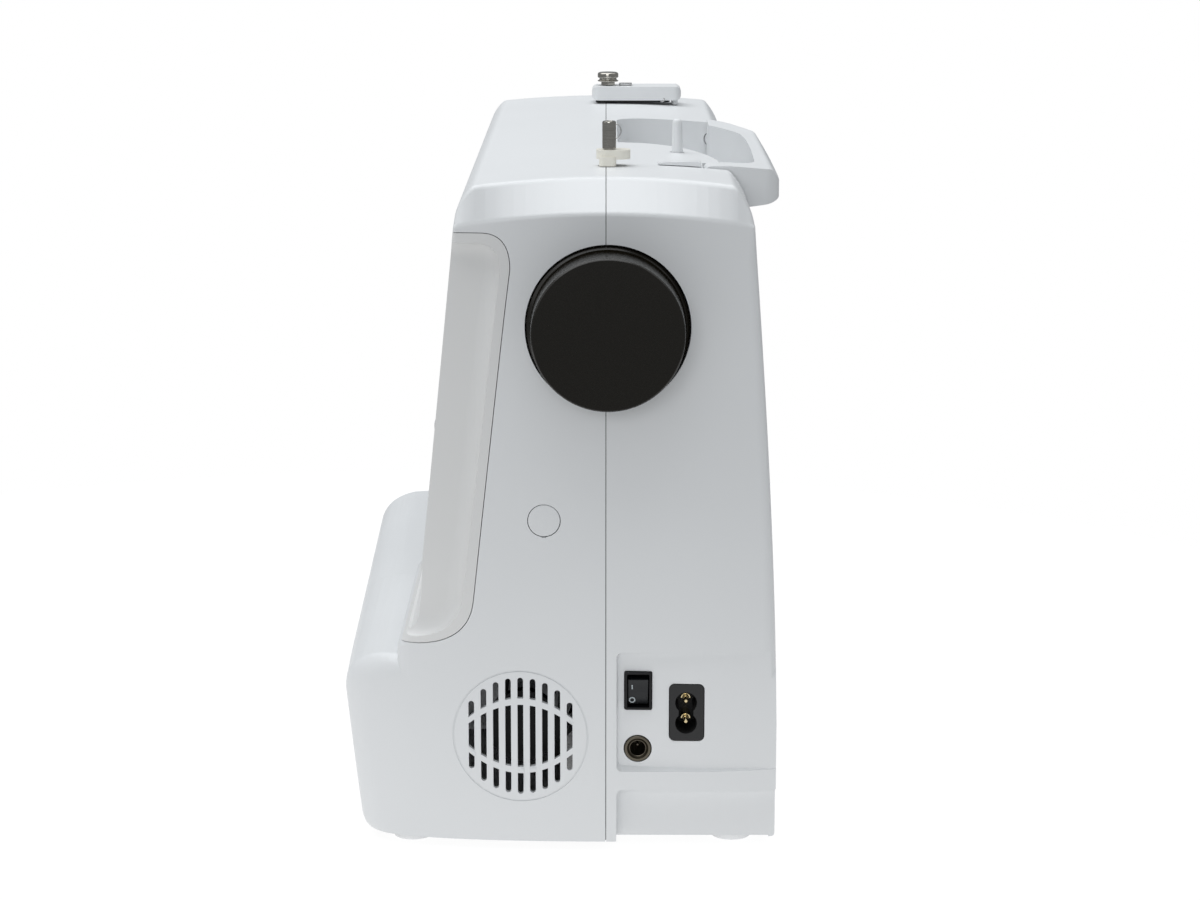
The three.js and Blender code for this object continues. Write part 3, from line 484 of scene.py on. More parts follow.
WHITE = plastic("white_abs", (0.76, 0.775, 0.785), 0.42, coat=0.05)
PANEL = plastic("panel_abs", (0.735, 0.738, 0.732), 0.45)
CREAM = plastic("cream_acetal", (0.80, 0.78, 0.70), 0.4)
WHEEL = plastic("wheel_plastic", (0.006, 0.0045, 0.002), 0.26, grain=1400, bump=0.05, drift=0.05,
                specular=0.36)
BLACK = plastic("socket_black", (0.006, 0.006, 0.007), 0.4, grain=1600, bump=0.05, specular=0.3)
ROCKER = plastic("rocker_black", (0.016, 0.017, 0.019), 0.4, grain=1600, bump=0.05, specular=0.3)
CHARCOAL = plastic("charcoal", (0.022, 0.022, 0.023), 0.45, grain=1500, bump=0.05, specular=0.35)
GREY_KEY = plastic("key_grey", (0.32, 0.335, 0.35), 0.5, grain=1500)
BASE_GREY = plastic("base_grey", (0.28, 0.285, 0.29), 0.6, grain=500, bump=0.1)
RUBBER = plastic("rubber", (0.02, 0.02, 0.021), 0.85, grain=700, bump=0.12)
MOTOR_CAN = metal("motor_can", (0.42, 0.43, 0.44), 0.4)
FOOT_RUBBER = plastic("foot_rubber", (0.82, 0.83, 0.84), 0.8, grain=700, bump=0.12)
BOARD = plastic("board_green", (0.02, 0.11, 0.05), 0.5, grain=250, drift=0.1)
MARK = plastic("mark_grey", (0.45, 0.50, 0.52), 0.5)
# painted shade: near-black material for the strip inside the cover seam
GAP_SHADE_PAINT = plastic("gap_shadow", (0.02, 0.02, 0.02), 0.9)
CHROME = metal("chrome", (0.46, 0.44, 0.40), 0.13, bump=0.02)
STEEL = metal("steel", (0.56, 0.56, 0.56), 0.3)
BRASS = metal("brass", (0.72, 0.60, 0.36), 0.2)
BRONZE = metal("bronze", (0.13, 0.115, 0.09), 0.35, grain=(900.0, 60.0, 60.0))
CASTING = metal("casting", (0.48, 0.48, 0.48), 0.55, grain=(200.0, 200.0, 200.0), bump=0.2)
CLEAR = clear_plastic("clear_lens", (0.86, 0.90, 0.92))

# ------------------------------------------------------------------ outer form
THROAT = {"right": -147, "left": -298, "top": 187, "head_bottom": 118, "corner": 14}
BED_SPREAD = {"right": 0.4, "left": 8.2}
SHOULDER = {"crown": 258.4, "edge": 253, "depth": 17, "corner_depth": 6}


def column_outline(inset):
    """The column, arm and head, in (y, z)."""
    d = inset
    shape = Outline(69.4 - d, 55, 20)
    shape.curve((68.6 - d, 126), (58.6 - d, 253))
    shape.curve((57.3 - d, 261.5 - d / 2), (50.6 - d / 2, 268.6 - d)).eased(1.4)
    shape.curve((0, 273.4 - d), (-52.4 + d / 2, 268.3 - d)).eased(1.4)
    shape.curve((-59.4 + d, 262.5 - d / 2), (-60.2 + d, 253))
    shape.curve((-66 + d, 196), (-75.2 + d, 108))
    shape.curve((-77.4 + d, 90), (-85 + d, 80))
    shape.line((-85 + d, 55))
    return shape.closed()


def bed_outline(inset, spread, extra=0.0):
    """The bed, in (y, z). Its front and top can come in by extra."""
    d, s = inset + extra, spread
    bottom, rear, corner = (-5 if inset else 0), 69.4 - inset, 1.8
    shape = Outline(rear, bottom + corner)
    shape.curve((rear, bottom), (rear - corner, bottom))
    shape.line((-97 - s + d, bottom))
    shape.curve((-100 - s + d, bottom + 0.5), (-101 - s + d, 6))
    shape.curve((-104.6 - s + d, 34), (-107.2 - s + d, 58))
    shape.curve((-107.6 - s + d, 73 - d), (-90 - s + d, BED_TOP - d))
    shape.line((rear - 0.4, BED_TOP - d), (rear, 50))
    return shape.closed()


BOW = {"front": 8.4, "corner": 7.2, "rear": 1.3, "rear_start": 36, "rear_reach": 33}
STRIPS = range(-112, 68, 4)


def bow(y):
    """How far the right end bows back at y."""
    front = max(0.0, -y) / 100
    rear = max(0.0, y - BOW["rear_start"]) / BOW["rear_reach"]
    return BOW["front"] * front ** 2 + BOW["corner"] * front ** 6 + BOW["rear"] * rear ** 2


def bent(mesh, fade=70.0):
    """Cuts a mesh into strips across y and bows its right end."""
    bm = bmesh.new()
    bm.from_mesh(mesh)
    for y in STRIPS:
        bmesh.ops.bisect_plane(bm, geom=bm.verts[:] + bm.edges[:] + bm.faces[:],
                               plane_co=(0, y, 0), plane_no=(0, 1, 0), dist=1e-4)
    for vertex in bm.verts:
        share = max(0.0, min(1.0, 1 + vertex.co.x / fade))
        vertex.co.x -= bow(vertex.co.y) * share
    return bm_to_mesh(bm, "bent")


def upper_form(inset, fillet=1.3, side_fillet=4.0, soft=2.2):
    """Column, arm and head: a rounded end face, an arched crease and the shoulder up to the plateau."""
    outline = column_outline(inset)

    def arch(y):
        return SHOULDER["crown"] - (SHOULDER["crown"] - SHOULDER["edge"]) * (y / 59) ** 2 - inset

    def plateau(y):
        depth = SHOULDER["depth"] - SHOULDER["corner_depth"]
        return -SHOULDER["corner_depth"] - depth * (1 - min(1.0, (y / 52) ** 2)) - inset

    end = [(y, min(z, arch(y))) for y, z in outline]
    steps = 6 if not inset else 1
    tracks = []
    for i, (y, z) in enumerate(outline):
        below = max(0.0, min(1.0, (SHOULDER["edge"] - 1 - z) / 14))
        below = below * below * (3 - 2 * below)
        radius = fillet + (side_fillet - fillet) * below
        crease = (-inset, *end[i])
        face_y = end[i][0] * (1 - radius / 60)
        face = (-inset, face_y, min(end[i][1], arch(face_y) - fillet))
        top = (plateau(y) - 6 * below, y, z)
        reach = math.dist(crease, top)
        after = mix(crease, top, min(0.45, radius / reach))
        before = mix(top, crease, min(0.45, soft / reach))
        beyond = (top[0] - soft, y, z)
        track = [bezier(face, crease, after, k / steps) for k in range(steps + 1)]
        track += [bezier(before, top, beyond, k / steps) for k in range(steps + 1)]
        track.append((-LENGTH, y, z))
        tracks.append(track)
    rings = [[track[k] for track in tracks] for k in range(len(tracks[0]))]
    body = bent(loft(rings))
    left_end = prism(rounded_rectangle(-LENGTH + inset, 40, -86, 86, 20, 10), "z", 30, 300)
    return combine(body, ("INTERSECT", left_end), ("DIFFERENCE", throat_space(inset)))


def throat_space(grow):
    right, left = THROAT["right"] + grow, THROAT["left"] - grow
    top, r = THROAT["top"] + grow, THROAT["corner"] - grow
    under = THROAT["head_bottom"] + grow
    shape = Outline(right, 40)
    shape.line((right, top - r)).arc((right - r, top - r), r, 0, 90)
    shape.line((left + 8, top)).curve((left, top), (left, top - 8))
    shape.line((left, under), (-LENGTH - 20, under), (-LENGTH - 20, 40))
    return prism(shape.closed(), "y", -130, 130)


def bed_plan(inset):
    """The bed from above, with the turned-back front left corner, in (x, y)."""
    d = inset
    shape = Outline(8, 69.4 - d)
    shape.line((8, -122), (-296, -122)).curve((-315 + d, -120 + d), (-321.5 + d, -98 + d))
    shape.line((-324 + d, -88 + d))
    shape.spline((-340 + d, -76 + d), (-364 + d, -60 + d), (-381 + d, -36 + d), (-LENGTH + d, -6 + d))
    shape.line((-LENGTH + d, 57 - d)).arc((-LENGTH + 12 + d, 57.4 - d), 12, 180, 90, 8)
    return shape.closed()


def bed_form(inset, reach=9.0):
    """The bed, with a soft edge of the given reach between its bowed end and its front and top."""
    turns = [math.pi / 2 * i / 8 for i in range(9)]
    rings = [[(-inset - reach * (1 - math.cos(a)), *p)
              for p in bed_outline(inset, BED_SPREAD["right"], reach * (1 - math.sin(a)))] for a in turns]
    rings.append([(-LENGTH - 2, *p) for p in bed_outline(inset, BED_SPREAD["left"])])
    return keep(bent(loft(rings)), prism(bed_plan(inset), "z", -12, 95))


def right_of_free_arm(inset):
    return box(-150 + inset, 30, -130, 130, -20, 100)


OUTER = join(upper_form(0), keep(bed_form(0), right_of_free_arm(0)))
INNER = join(upper_form(WALL), keep(bed_form(WALL), right_of_free_arm(WALL)), box(-145, -12, -70, 64, 50, 80))
SHELL = cut(copied(OUTER), copied(INNER))

# ------------------------------------------------------------------ openings in the covers
SHAFT_Y, SHAFT_Z = 0.8, 213
WHEEL_RIM = 32.4
PANEL_LEFT = -141
VENT = {"y": -34.7, "z": 44.7, "radius": 24.6, "pitch": 5.0, "slot": 2.36, "columns": 9, "rib": 1.3}
CAP = {"y": -24.8, "z": 134.6, "radius": 6.45}
SWITCH = (7.7, 18.6, 55.6, 71.4)
INLET = (25.9, 39.8, 42.7, 66.3)
JACK = {"y": 13, "z": 39, "radius": 5.45}
WINDER = {"x": -57, "y": 1.3}
SPOOL = {"x": -116, "y": 30.5}
HANDLE = {"y": 50, "z": 261, "near": -61, "far": -262}
KEY_X = (-36, -58, -80, -102)
KEY_Z = 165
LCD = (-104, -34, 182, 218)
DIAL = (-312, 226, 13)
SLIDER = (-260, 210)
BUTTONS = {"start_stop": (-318, 152, 7), "reverse": (-338, 142, 5.5), "needle_position": (-358, 152, 5.5)}


def panel_edge(grow, front=-130):
    """The control panel's edge on the end face, in (y, z)."""
    g = grow
    shape = Outline(front, 250.2 + g)
    shape.line((-49, 250.2 + g)).curve((-38 + g, 250 + g), (-38 + g, 236))
    shape.spline((-41 + g, 212), (-48 + g, 151), (-53.6 + g, 101))
    shape.curve((-55.4 + g, 84 - g), (-76 + g, 82.6 - g)).line((front, 82.6 - g))
    return shape.closed()


def panel_space(grow):
    return prism(panel_edge(grow), "x", PANEL_LEFT - grow, 20)


def pocket_plan(grow):
    """The hand pocket in front of the folded carry handle, in (x, y)."""
    g, far = grow, HANDLE["far"] - 1 - grow
    shape = Outline(-60.2 + g, 110)
    shape.line((-60.2 + g, 40 - g), (-79, 40 - g), (-80.5, 47.4 - g))
    shape.spline((-98, 46.6 - g), (-121, 40.4 - g), (-138, 31 - g), (-148 + g, 18 - g), (-150 + g, 5 - g))
    shape.line((-250 - g, 5 - g)).curve((far, 5 - g), (far, 22)).line((far, 110))
    return shape.closed()


def vent_slots():
    """Round-ended upright slots inside a circle, crossed by two bowed ribs."""
    tools = []
    middle = (VENT["columns"] - 1) / 2
    half = VENT["slot"] / 2

    def rib(dy, side):
        return 14.5 - 7.5 * (dy / (middle * VENT["pitch"])) ** 2 + side * VENT["rib"]

    for i in range(VENT["columns"]):
        dy = (i - middle) * VENT["pitch"]
        reach = math.sqrt(VENT["radius"] ** 2 - dy ** 2)
        left, right, y = dy - half, dy + half, VENT["y"]
        ends = ((left, -1), (right, -1), (right, 1), (left, 1))
        inner = [(edge, side * rib(edge, -1)) for edge, side in ends]
        tools.append([(y + a, VENT["z"] + b) for a, b in inner])
        for side in (1, -1):
            outer = [(left, rib(left, 1)), (right, rib(right, 1))]
            outer += [(dy + half * math.cos(t), reach - half + half * math.sin(t))
                      for t in (math.pi * k / 10 for k in range(11))]
            tools.append([(y + a, VENT["z"] + side * b) for a, b in outer])
    return [prism(outline, "x", -14, 4) for outline in tools]


def wheel_hole():
    return rod("x", (0, SHAFT_Y, SHAFT_Z), WHEEL_RIM + 0.6, -12, 4, 96)


def winder_slot():
    x = WINDER["x"]
    return prism(rounded_rectangle(x - 4.2, x + 4.2, -3.3, 8.6, 4), "z", 240, 300)


def under_head():
    return box(-357, -313, -16, 30, 100, 130)


def face_cover_space(grow):
    return prism(rounded_rectangle(-420, -366 + grow, 110, 248 + grow, 12), "y", -130, 130)


def free_arm_door():
    return box(-160, -140, -38, 40, -5, 71)


def front_half():
    return box(-420, 60, -160, -SEAM, -20, 320)


def rear_half():
    return box(-420, 60, SEAM, 160, -20, 320)


def make_front_cover():
    mesh = keep(copied(SHELL), front_half())
    tools = [panel_space(GAP), wheel_hole(), winder_slot(), under_head(), free_arm_door(),
             face_cover_space(GAP),
             rod("x", (0, CAP["y"], CAP["z"]), CAP["radius"] + 0.26, -12, 4, 96),
             box(-2.5, 4, CAP["y"] - 1, CAP["y"] + 1, CAP["z"] - CAP["radius"] - 0.5, CAP["z"] - 5),
             prism(rounded_rectangle(-347.6, -340.4, 178, 244, 3), "y", -90, -50),
             prism(rounded_rectangle(-282, -238, 206, 214, 3.5), "y", -90, -50),
             rod("y", (-312, 0, 226), 13.4, -90, -50),
             box(-313, -302, -36, -24, 112, 121.4)]
    tools += [rod("y", (x, 0, z), r + 0.4, -90, -50) for x, z, r in BUTTONS.values()]
    y, z = VENT["y"], VENT["z"]
    groove = [(27, -0.35), (27.7, -0.35), (27.7, 5), (27, 5), (27, -0.35)]
    tools.append(bent(turned(groove, "x", (0, y, z), 96)))
    mesh = cut(mesh, column_toe(), *tools, *vent_slots())
    finish_piece("front_cover_shell", mesh, "machine_body", WHITE, ["front_cover"], bevel=0.3)


def scoop_edge(grow):
    """The hollow in the panel's end, as an outline in (y, z) that shrinks as grow gets smaller."""
    g = grow
    shape = Outline(-105, 247.6 + g)
    shape.line((-51, 247.6 + g)).curve((-40.6 + g, 247.4 + g), (-40.6 + g, 235))
    shape.spline((-43.6 + g, 211), (-50.6 + g, 150), (-56.4 + g, 103))
    shape.curve((-58.4 + g, 85.4 - g), (-77, 84 - g)).line((-105, 84 - g))
    return shape.closed()


def column_toe():
    """What comes off the column's front just above the panel's lower edge."""
    toe = [(-120, 112), (-74.4, 112), (-75.2, 100), (-76.0, 92.5), (-77.2, 89.4), (-79.4, 87.6), (-120, 87)]
    return prism(toe, "x", -150, 20)


def make_front_panel():
    deep = keep(copied(INNER), box(-400, -15, -200, 200, -20, 320))
    turns = [math.pi / 2 * i / 8 for i in range(9)]
    rings = [[(3.0, *p) for p in scoop_edge(-1.2)]]
    rings += [[(-5.6 * math.sin(t), *p) for p in scoop_edge(-1.2 - 7.5 * (1 - math.cos(t)))] for t in turns]
    left, right, low, high = LCD
    tools = [deep, bent(loft(rings)), prism(rounded_rectangle(left, right, low, high, 3), "y", -90, -50)]
    tools += [prism(rounded_rectangle(x - 7.4, x + 7.4, KEY_Z - 4.4, KEY_Z + 4.4, 2.5), "y", -90, -50)
              for x in KEY_X]
    mesh = cut(keep(copied(OUTER), panel_space(0)), column_toe(), *tools)
    finish_piece("front_panel_shell", mesh, "machine_body", PANEL, ["front_panel"], bevel=0.3)


def make_rear_cover():
    far = HANDLE["far"]
    blocks = [box(-11, -2, 2, 67.5, 0.5, 84), box(-60.2, -48, 40, 58, 250, 268),
              box(far - 13, far - 1, 40, 58, 250, 268)]
    walls = join(copied(SHELL), *(keep(copied(OUTER), b) for b in blocks))
    walls = join(walls, keep(copied(OUTER), prism(pocket_plan(WALL), "z", 233, 300)))
    y0, y1, z0, z1 = SWITCH
    u0, u1, v0, v1 = INLET
    frame_rings = [(-3.2, 5.0, 31.9, 79.4), (0, 4.3, 29.8, 80), (4, 3.4, 27.2, 80.8)]
    frustum = loft([[(x, *p) for p in rounded_rectangle(y, 90, low, high, 2.2)]
                    for x, y, low, high in frame_rings])
    recess = keep(prism([(4, 3), (-3, 3), (-3, 4.3), (-1.4, 36), (-1.5, 72), (4, 72)], "z", 25, 83), frustum)
    mesh = cut(
        keep(walls, rear_half()),
        prism(pocket_plan(0), "z", 236, 300),
        rod("x", (0, HANDLE["y"], HANDLE["z"]), 3.4, far - 6.5, -54),
        recess,
        prism(rounded_rectangle(4.3, 90, -30, 22, 2.4), "x", -7, 4),
        prism(rounded_rectangle(y0 - GAP, y1 + GAP, z0 - GAP, z1 + GAP, 0.8), "x", -30, 4),
        prism(rounded_rectangle(u0 - GAP, u1 + GAP, v0 - GAP, v1 + GAP, 2.4), "x", -30, 4),
        rod("x", (0, JACK["y"], JACK["z"]), JACK["radius"] + GAP, -30, 4),
        rod("z", (SPOOL["x"], SPOOL["y"], 0), 3.1, 240, 300),
        wheel_hole(), winder_slot(), under_head(), free_arm_door(), face_cover_space(GAP),
        box(-348, -322, 18, 80, 100, 150),
    )
    finish_piece("rear_cover_shell", mesh, "machine_body", WHITE, ["rear_cover"], bevel=0.3)


def make_face_cover():
    mesh = cut(keep(copied(SHELL), face_cover_space(0)), under_head())
    finish_piece("face_cover_shell", mesh, "machine_body", WHITE, ["face_cover"], bevel=0.4)


def make_seam_shade_strip():
    """A dark strip just inside the joint between the two covers, a little below the surface: painted shade
    that keeps the seam line dark.
    """
    below = join(upper_form(0.7), keep(bed_form(0.7), right_of_free_arm(0.7)))
    shade_strip = keep(cut(below, copied(INNER)), box(-420, 60, -0.14, 0.14, 0.5, 320))
    mesh = cut(shade_strip, wheel_hole(), winder_slot(), under_head(), free_arm_door(), face_cover_space(GAP))
    finish_piece("seam_painted_shade", mesh, "machine_body", GAP_SHADE_PAINT)


# ------------------------------------------------------------------ free arm and accessory box
def make_free_arm():
    left, right, half = -366, -150.6, 42
    section = prism(rounded_rectangle(-half, half, -20, BED_TOP, 5, 8), "x", left, right)
    plan = prism(rounded_rectangle(left, right + 20, -half, half, 7, 8), "z", 3.6, BED_TOP)
    hollow = box(left + WALL, right + 5, -half + WALL, half - WALL, -5, BED_TOP - WALL)
    mesh = cut(keep(section, plan), hollow, box(-362, -304, -39, 39, 60, 100))
    finish_piece("free_arm_shell", mesh, "machine_body", WHITE, ["free_arm_cover"], bevel=0.4)


def make_accessory_box():
    arm_space = prism(rounded_rectangle(-366.6, 40, -42.6, 130, 7.6, 8), "z", -20, 100)
    grip = prism(rounded_rectangle(-270, -240, 20, 34, 6), "y", -130, -100)
    grip = keep(grip, rod("x", (0, -126, 27), 19, -280, -230))
    tools = [arm_space, box(-314, -156, -96, 0, 4, BED_TOP - WALL), grip]
    mesh = cut(keep(bed_form(0), box(-420, -150.08, -130, 42, 0.5, 100)), *tools)
    finish_piece("accessory_box_shell", mesh, "accessory_box_body", WHITE, ["accessory_box"],
                 bevel=0.4)


# ------------------------------------------------------------------ end face fittings
def make_handwheel():
    profile = [(0, -4), (4.3, -4), (4.3, -14), (9, -14), (9, -2), (26.4, -2), (26.4, -8), (32, -8),
               (32.4, -7.6), (32.4, -1.0), (32.1, -0.6), (31.2, 0.1), (30.6, 0.9), (30.3, 17.4),
               (30.25, 19), (30.05, 19.6), (29.6, 20), (0, 20)]
    mesh = turned(profile, "x", (0, SHAFT_Y, SHAFT_Z), 144)
    finish_piece("handwheel_turned", mesh, "main_shaft", WHEEL, ["handwheel"], angle=40)


def make_belt_cap():
    y, z, r = CAP["y"], CAP["z"], CAP["radius"]
    cap = turned([(0, -3), (r, -3), (r, -0.35), (r - 0.1, -0.1), (r - 0.35, 0), (0, 0)], "x", (-0.6, y, z))
    finish_piece("belt_cap_moulded", cap, "machine_body", WHITE, ["belt_cap"])


def make_switch():
    y0, y1, z0, z1 = SWITCH
    shell = cut(prism(rounded_rectangle(y0, y1, z0, z1, 0.7), "x", -18, -1.4),
                prism(rounded_rectangle(y0 + 1, y1 - 1, z0 + 1, z1 - 1, 0.4), "x", -15, 2))
    finish_piece("switch_housing_moulded", shell, "machine_body", BLACK, ["switch_housing"],
                 bevel=0.22, segments=3)
    middle = (z0 + z1) / 2
    side = Outline(-2.1, middle - 0.6)
    side.curve((-2.1, middle), (-1.95, middle + 0.8)).curve((-1.7, middle + 3.2), (-0.4, z1 - 2.9))
    side.line((-7, z1 - 3.2), (-10, middle), (-7.4, z0 + 2.2), (-3.9, z0 + 1.9))
    side.curve((-2.8, middle - 3.6), (-2.1, middle - 0.6))
    rocker = prism(side.closed(), "y", y0 + 1.4, y1 - 1.4)
    finish_piece("power_rocker_moulded", rocker, "rocker_body", ROCKER, ["power_rocker"],
                 bevel=0.25, segments=3)
    bar = box(-1.78, -1.5, 10.45, 10.95, middle + 0.9, middle + 2.9)
    band = [(0.85, 0), (1.3, 0), (1.3, 0.3), (0.85, 0.3), (0.85, 0)]
    ring = turned(band, "x", (-2.95, 10.7, middle - 4.0), 32)
    for name, mark, turn in (("rocker_mark_on", bar, -7), ("rocker_mark_off", ring, 14)):
        centre = sum((v.co for v in mark.vertices), Vector()) / len(mark.vertices)
        mark.transform(Matrix.Translation(centre) @ Matrix.Rotation(math.radians(turn), 4, "Y")
                       @ Matrix.Translation(-centre))
        finish_piece(name, mark, "rocker_body", MARK, bevel=0.04)


def make_inlet():
    u0, u1, v0, v1 = INLET
    y, z, pitch = 32.6, 54.3, 8.6
    body = prism(rounded_rectangle(u0, u1, v0, v1, 2, 8), "x", -24, -1.4)
    lobes = [rod("x", (0, y, z + side * pitch / 2), 4.4, -18, 4) for side in (-1, 1)]
    waist = box(-18, 4, y - 3, y + 3, z - 2.5, z + 2.5)
    pin_holes = [rod("x", (0, y, z + side * pitch / 2), 1.6, -22, 0) for side in (-1, 1)]
    mesh = cut(body, join(lobes[0], lobes[1], waist), *pin_holes)
    finish_piece("inlet_housing_moulded", mesh, "machine_body", CHARCOAL, ["inlet_housing"],
                 bevel=0.35, segments=3)
    profile = [(0, -21.5), (1.2, -21.5), (1.2, -5), (1.05, -4.4), (0.6, -4.02), (0, -4)]
    for side, name in ((-1, "inlet_pin_lower"), (1, "inlet_pin_upper")):
        centre = (0, y, z + side * pitch / 2)
        finish_piece(f"{name}_turned", turned(profile, "x", centre, 32), "machine_body", BRASS, [name])
        arc = Outline(1.9, 0)
        arc.arc((0, 0), 1.9, 0, 180, 20).arc((0, 0), 1.45, 180, 0, 20)
        collar = [(centre[1] + a, centre[2] + b) for a, b in arc.closed()]
        finish_piece(f"{name}_contact", prism(collar, "x", -17.9, -9), "machine_body", BRASS)


def make_foot_jack():
    profile = [(0, -24), (5.45, -24), (5.45, -0.5), (5.3, -0.15), (4.95, 0), (4.35, -0.1), (4.1, -0.9),
               (3.8, -1.1), (3.45, -0.7), (3.2, -0.8), (3.2, -18), (0.5, -18), (0.5, -6), (0.35, -5.6),
               (0, -5.6)]
    mesh = turned(profile, "x", (-2.2, JACK["y"], JACK["z"]), 72)
    finish_piece("foot_jack_turned", mesh, "machine_body", BRONZE, ["foot_jack"], angle=40)


# ------------------------------------------------------------------ top fittings
def wire(points, radius, sides=12, fine=8):
    """A round wire through points, closed at both ends."""
    path = [Vector(p) for p in points]
    padded = [path[0], *path, path[-1]]
    line = []
    for i in range(1, len(padded) - 2):
        a, b, c, d = padded[i - 1:i + 3]
        for k in range(fine):
            line.append(catmull_rom(a, b, c, d, k / fine))
    line.append(path[-1])
    rings = []
    across = None
    for i, place in enumerate(line):
        along = (line[min(i + 1, len(line) - 1)] - line[max(i - 1, 0)]).normalized()
        across = (across - along * across.dot(along) if across else along.orthogonal()).normalized()
        up = along.cross(across)
        rings.append([tuple(place + radius * (math.cos(a) * across + math.sin(a) * up))
                      for a in (2 * math.pi * k / sides for k in range(sides))])
    return loft(rings)


def make_winder():
    x, y = WINDER["x"], WINDER["y"]
    plate = prism(rounded_rectangle(x - 5.4, x + 5.4, -4, 10, 4.4, 8), "z", 273.9, 277.6)
    collar = join(rod("z", (x, y - 0.7, 0), 3.4, 256, 272),
                  prism(rounded_rectangle(x - 4.6, x + 6.4, -2.8, 4.2, 1.6), "z", 271.2, 275))
    seat = cut(join(plate, collar), rod("z", (x, y, 0), 1.9, 240, 300))
    finish_piece("winder_seat_moulded", seat, "winder_carriage", CREAM, ["winder_seat"],
                 bevel=0.7, segments=4)
    profile = [(0, 242), (9.6, 242), (10, 242.4), (10, 247.6), (9.6, 248), (1.6, 248), (1.6, 278),
               (2.85, 278), (2.85, 288.5), (2.7, 289), (2.3, 289.2), (1.7, 289.2), (1.4, 288.7), (0, 288.6)]
    finish_piece("winder_shaft_turned", turned(profile, "z", (x, y, 0), 56), "winder_spindle", CHROME,
                 ["winder_shaft"])
    loop = [(x, y + 2.5, 287.9), (x, y + 3.6, 287.7), (x, y + 4.6, 286.2), (x, y + 4.8, 284.4),
            (x, y + 3.9, 282.6), (x, y + 2.6, 281.8)]
    finish_piece("winder_spring_wire", wire(loop, 0.25), "winder_spindle", STEEL, ["winder_spring"])


def lifted_outer():
    top = copied(OUTER)
    top.transform(Matrix.Translation((0, 0, GAP)))
    return top


def make_thread_cutter():
    side = Outline(21.2, 267)
    side.line((39.2, 266), (39.2, 271.2)).curve((39, 271.9), (36.4, 272.1)).line((23, 271.8))
    side.curve((21.4, 271.6), (21.2, 270.6))
    block = prism(side.closed(), "x", -70, -61)
    top = lifted_outer()
    slit = prism([(24, 273), (38, 273), (38, 270.2), (24, 270.9)], "x", -66, -65.3)
    mesh = cut(block, top, slit)
    finish_piece("thread_cutter_moulded", mesh, "machine_body", WHITE, ["thread_cutter"],
                 bevel=0.3, segments=3)


def make_spool_pin():
    profile = [(0, 247), (2.6, 247), (2.6, 270.6), (2.35, 271.2), (2.3, 271.6), (2.1, 282.6), (1.9, 283.7),
               (1.4, 284.2), (0.8, 284.4), (0, 284.4)]
    mesh = turned(profile, "z", (SPOOL["x"], SPOOL["y"], 0), 48)
    finish_piece("spool_pin_moulded", mesh, "spool_pin_body", WHITE, ["spool_pin"], angle=45)


def make_thread_guide():
    bar = prism(rounded_rectangle(-358, -338, -7, 37.6, 4, 8), "z", 272.6, 279.4)
    bar = keep(bar, prism(rounded_rectangle(-7, 37.6, 272.6, 279.4, 2.6, 8), "x", -360, -336))
    post = rod("z", (-348, 1, 0), 3, 268, 275)
    leg = prism(rounded_rectangle(-354, -342, 33, 36, 1.2), "z", 264, 275)
    top = lifted_outer()
    mesh = cut(join(bar, post, leg), copied(top))
    finish_piece("thread_guide_bar_moulded", mesh, "machine_body", WHITE, ["thread_guide_bar"],
                 bevel=1.1, segments=4)
    # A thin black plate under the guide bar: painted shade for the dark gap beneath the bar.
    under = prism(rounded_rectangle(-356.5, -339.2, -5.2, 32, 3, 6), "z", 271.6, 272.55)
    finish_piece("guide_bar_shade_plate", cut(under, copied(top)), "machine_body", BLACK, bevel=0.15)
    hook = [(-340, 27.4, 276.0), (-338.7, 27.7, 274.4), (-338.2, 29.2, 273.4), (-338.2, 28.6, 272.2),
            (-338.6, 27.4, 272)]
    finish_piece("guide_hook_wire", wire(hook, 0.4), "machine_body", STEEL)
    nut = prism(circle(-348, 1, 3.9, 6), "z", 279.7, 281.6)
    profile = [(0, 281.4), (5.0, 281.4), (5.2, 281.6), (5.2, 281.9), (4.6, 282.1), (4.3, 282.5), (4.3, 283.1),
               (5.0, 283.3), (5.2, 283.6), (5.2, 285.2), (4.9, 285.7), (4.3, 286), (0, 286)]
    knob = join(nut, turned(profile, "z", (-348, 1, 0), 56))
    finish_piece("pretension_knob_turned", knob, "machine_body", CHROME, ["pretension_knob"],
                 bevel=0.12)


def make_carry_handle():
    y, z, near, far = (HANDLE[k] for k in ("y", "z", "near", "far"))
    plan = Outline(near, 40.5)
    plan.line((near, 66)).curve((near - 0.4, 71), (near - 7, 71.6))
    plan.spline((-104, 73), (-160, 73.6), (-196, 72.8), (-220, 68.4), (-244, 60.4))
    plan.curve((-258, 56), (far, 48))
    plan.line((-234, 48))
    plan.spline((-225, 52.4), (-208, 59.6), (-190, 62.2), (-147, 63), (-90, 62.4))
    plan.curve((-76, 62.2), (-76, 51)).line((-76, 40.5))
    section = Outline(40, 257)
    section.curve((40, 252), (46, 252.2)).line((58, 253.2), (65, 254.2)).curve((72.4, 255.2), (73.6, 260.8))
    section.line((69.4, 267.4)).curve((68.9, 268.6), (67.2, 268.9)).line((51, 270.2), (44, 270.2))
    section.curve((40, 270.2), (40, 266))
    mesh = keep(prism(plan.closed(), "z", 250, 272), prism(section.closed(), "x", -300, 0))
    for x0, x1 in ((near - 3, near + 6), (far - 5.5, far + 1)):
        mesh = join(mesh, rod("x", (0, y, z), 3, x0, x1))
    finish_piece("carry_handle_moulded", mesh, "handle_body", WHITE, ["carry_handle"],
                 bevel=0.7, segments=4, angle=40)


# ------------------------------------------------------------------ operator's side
def front_face_y(z):
    """Where the column's front face stands at height z."""
    outline = column_outline(0)
    for (ya, za), (yb, zb) in zip(outline, outline[1:]):
        if ya < -50 and yb < -50 and za >= z >= zb:
            return ya + (yb - ya) * (za - z) / (za - zb)
    return -60.0


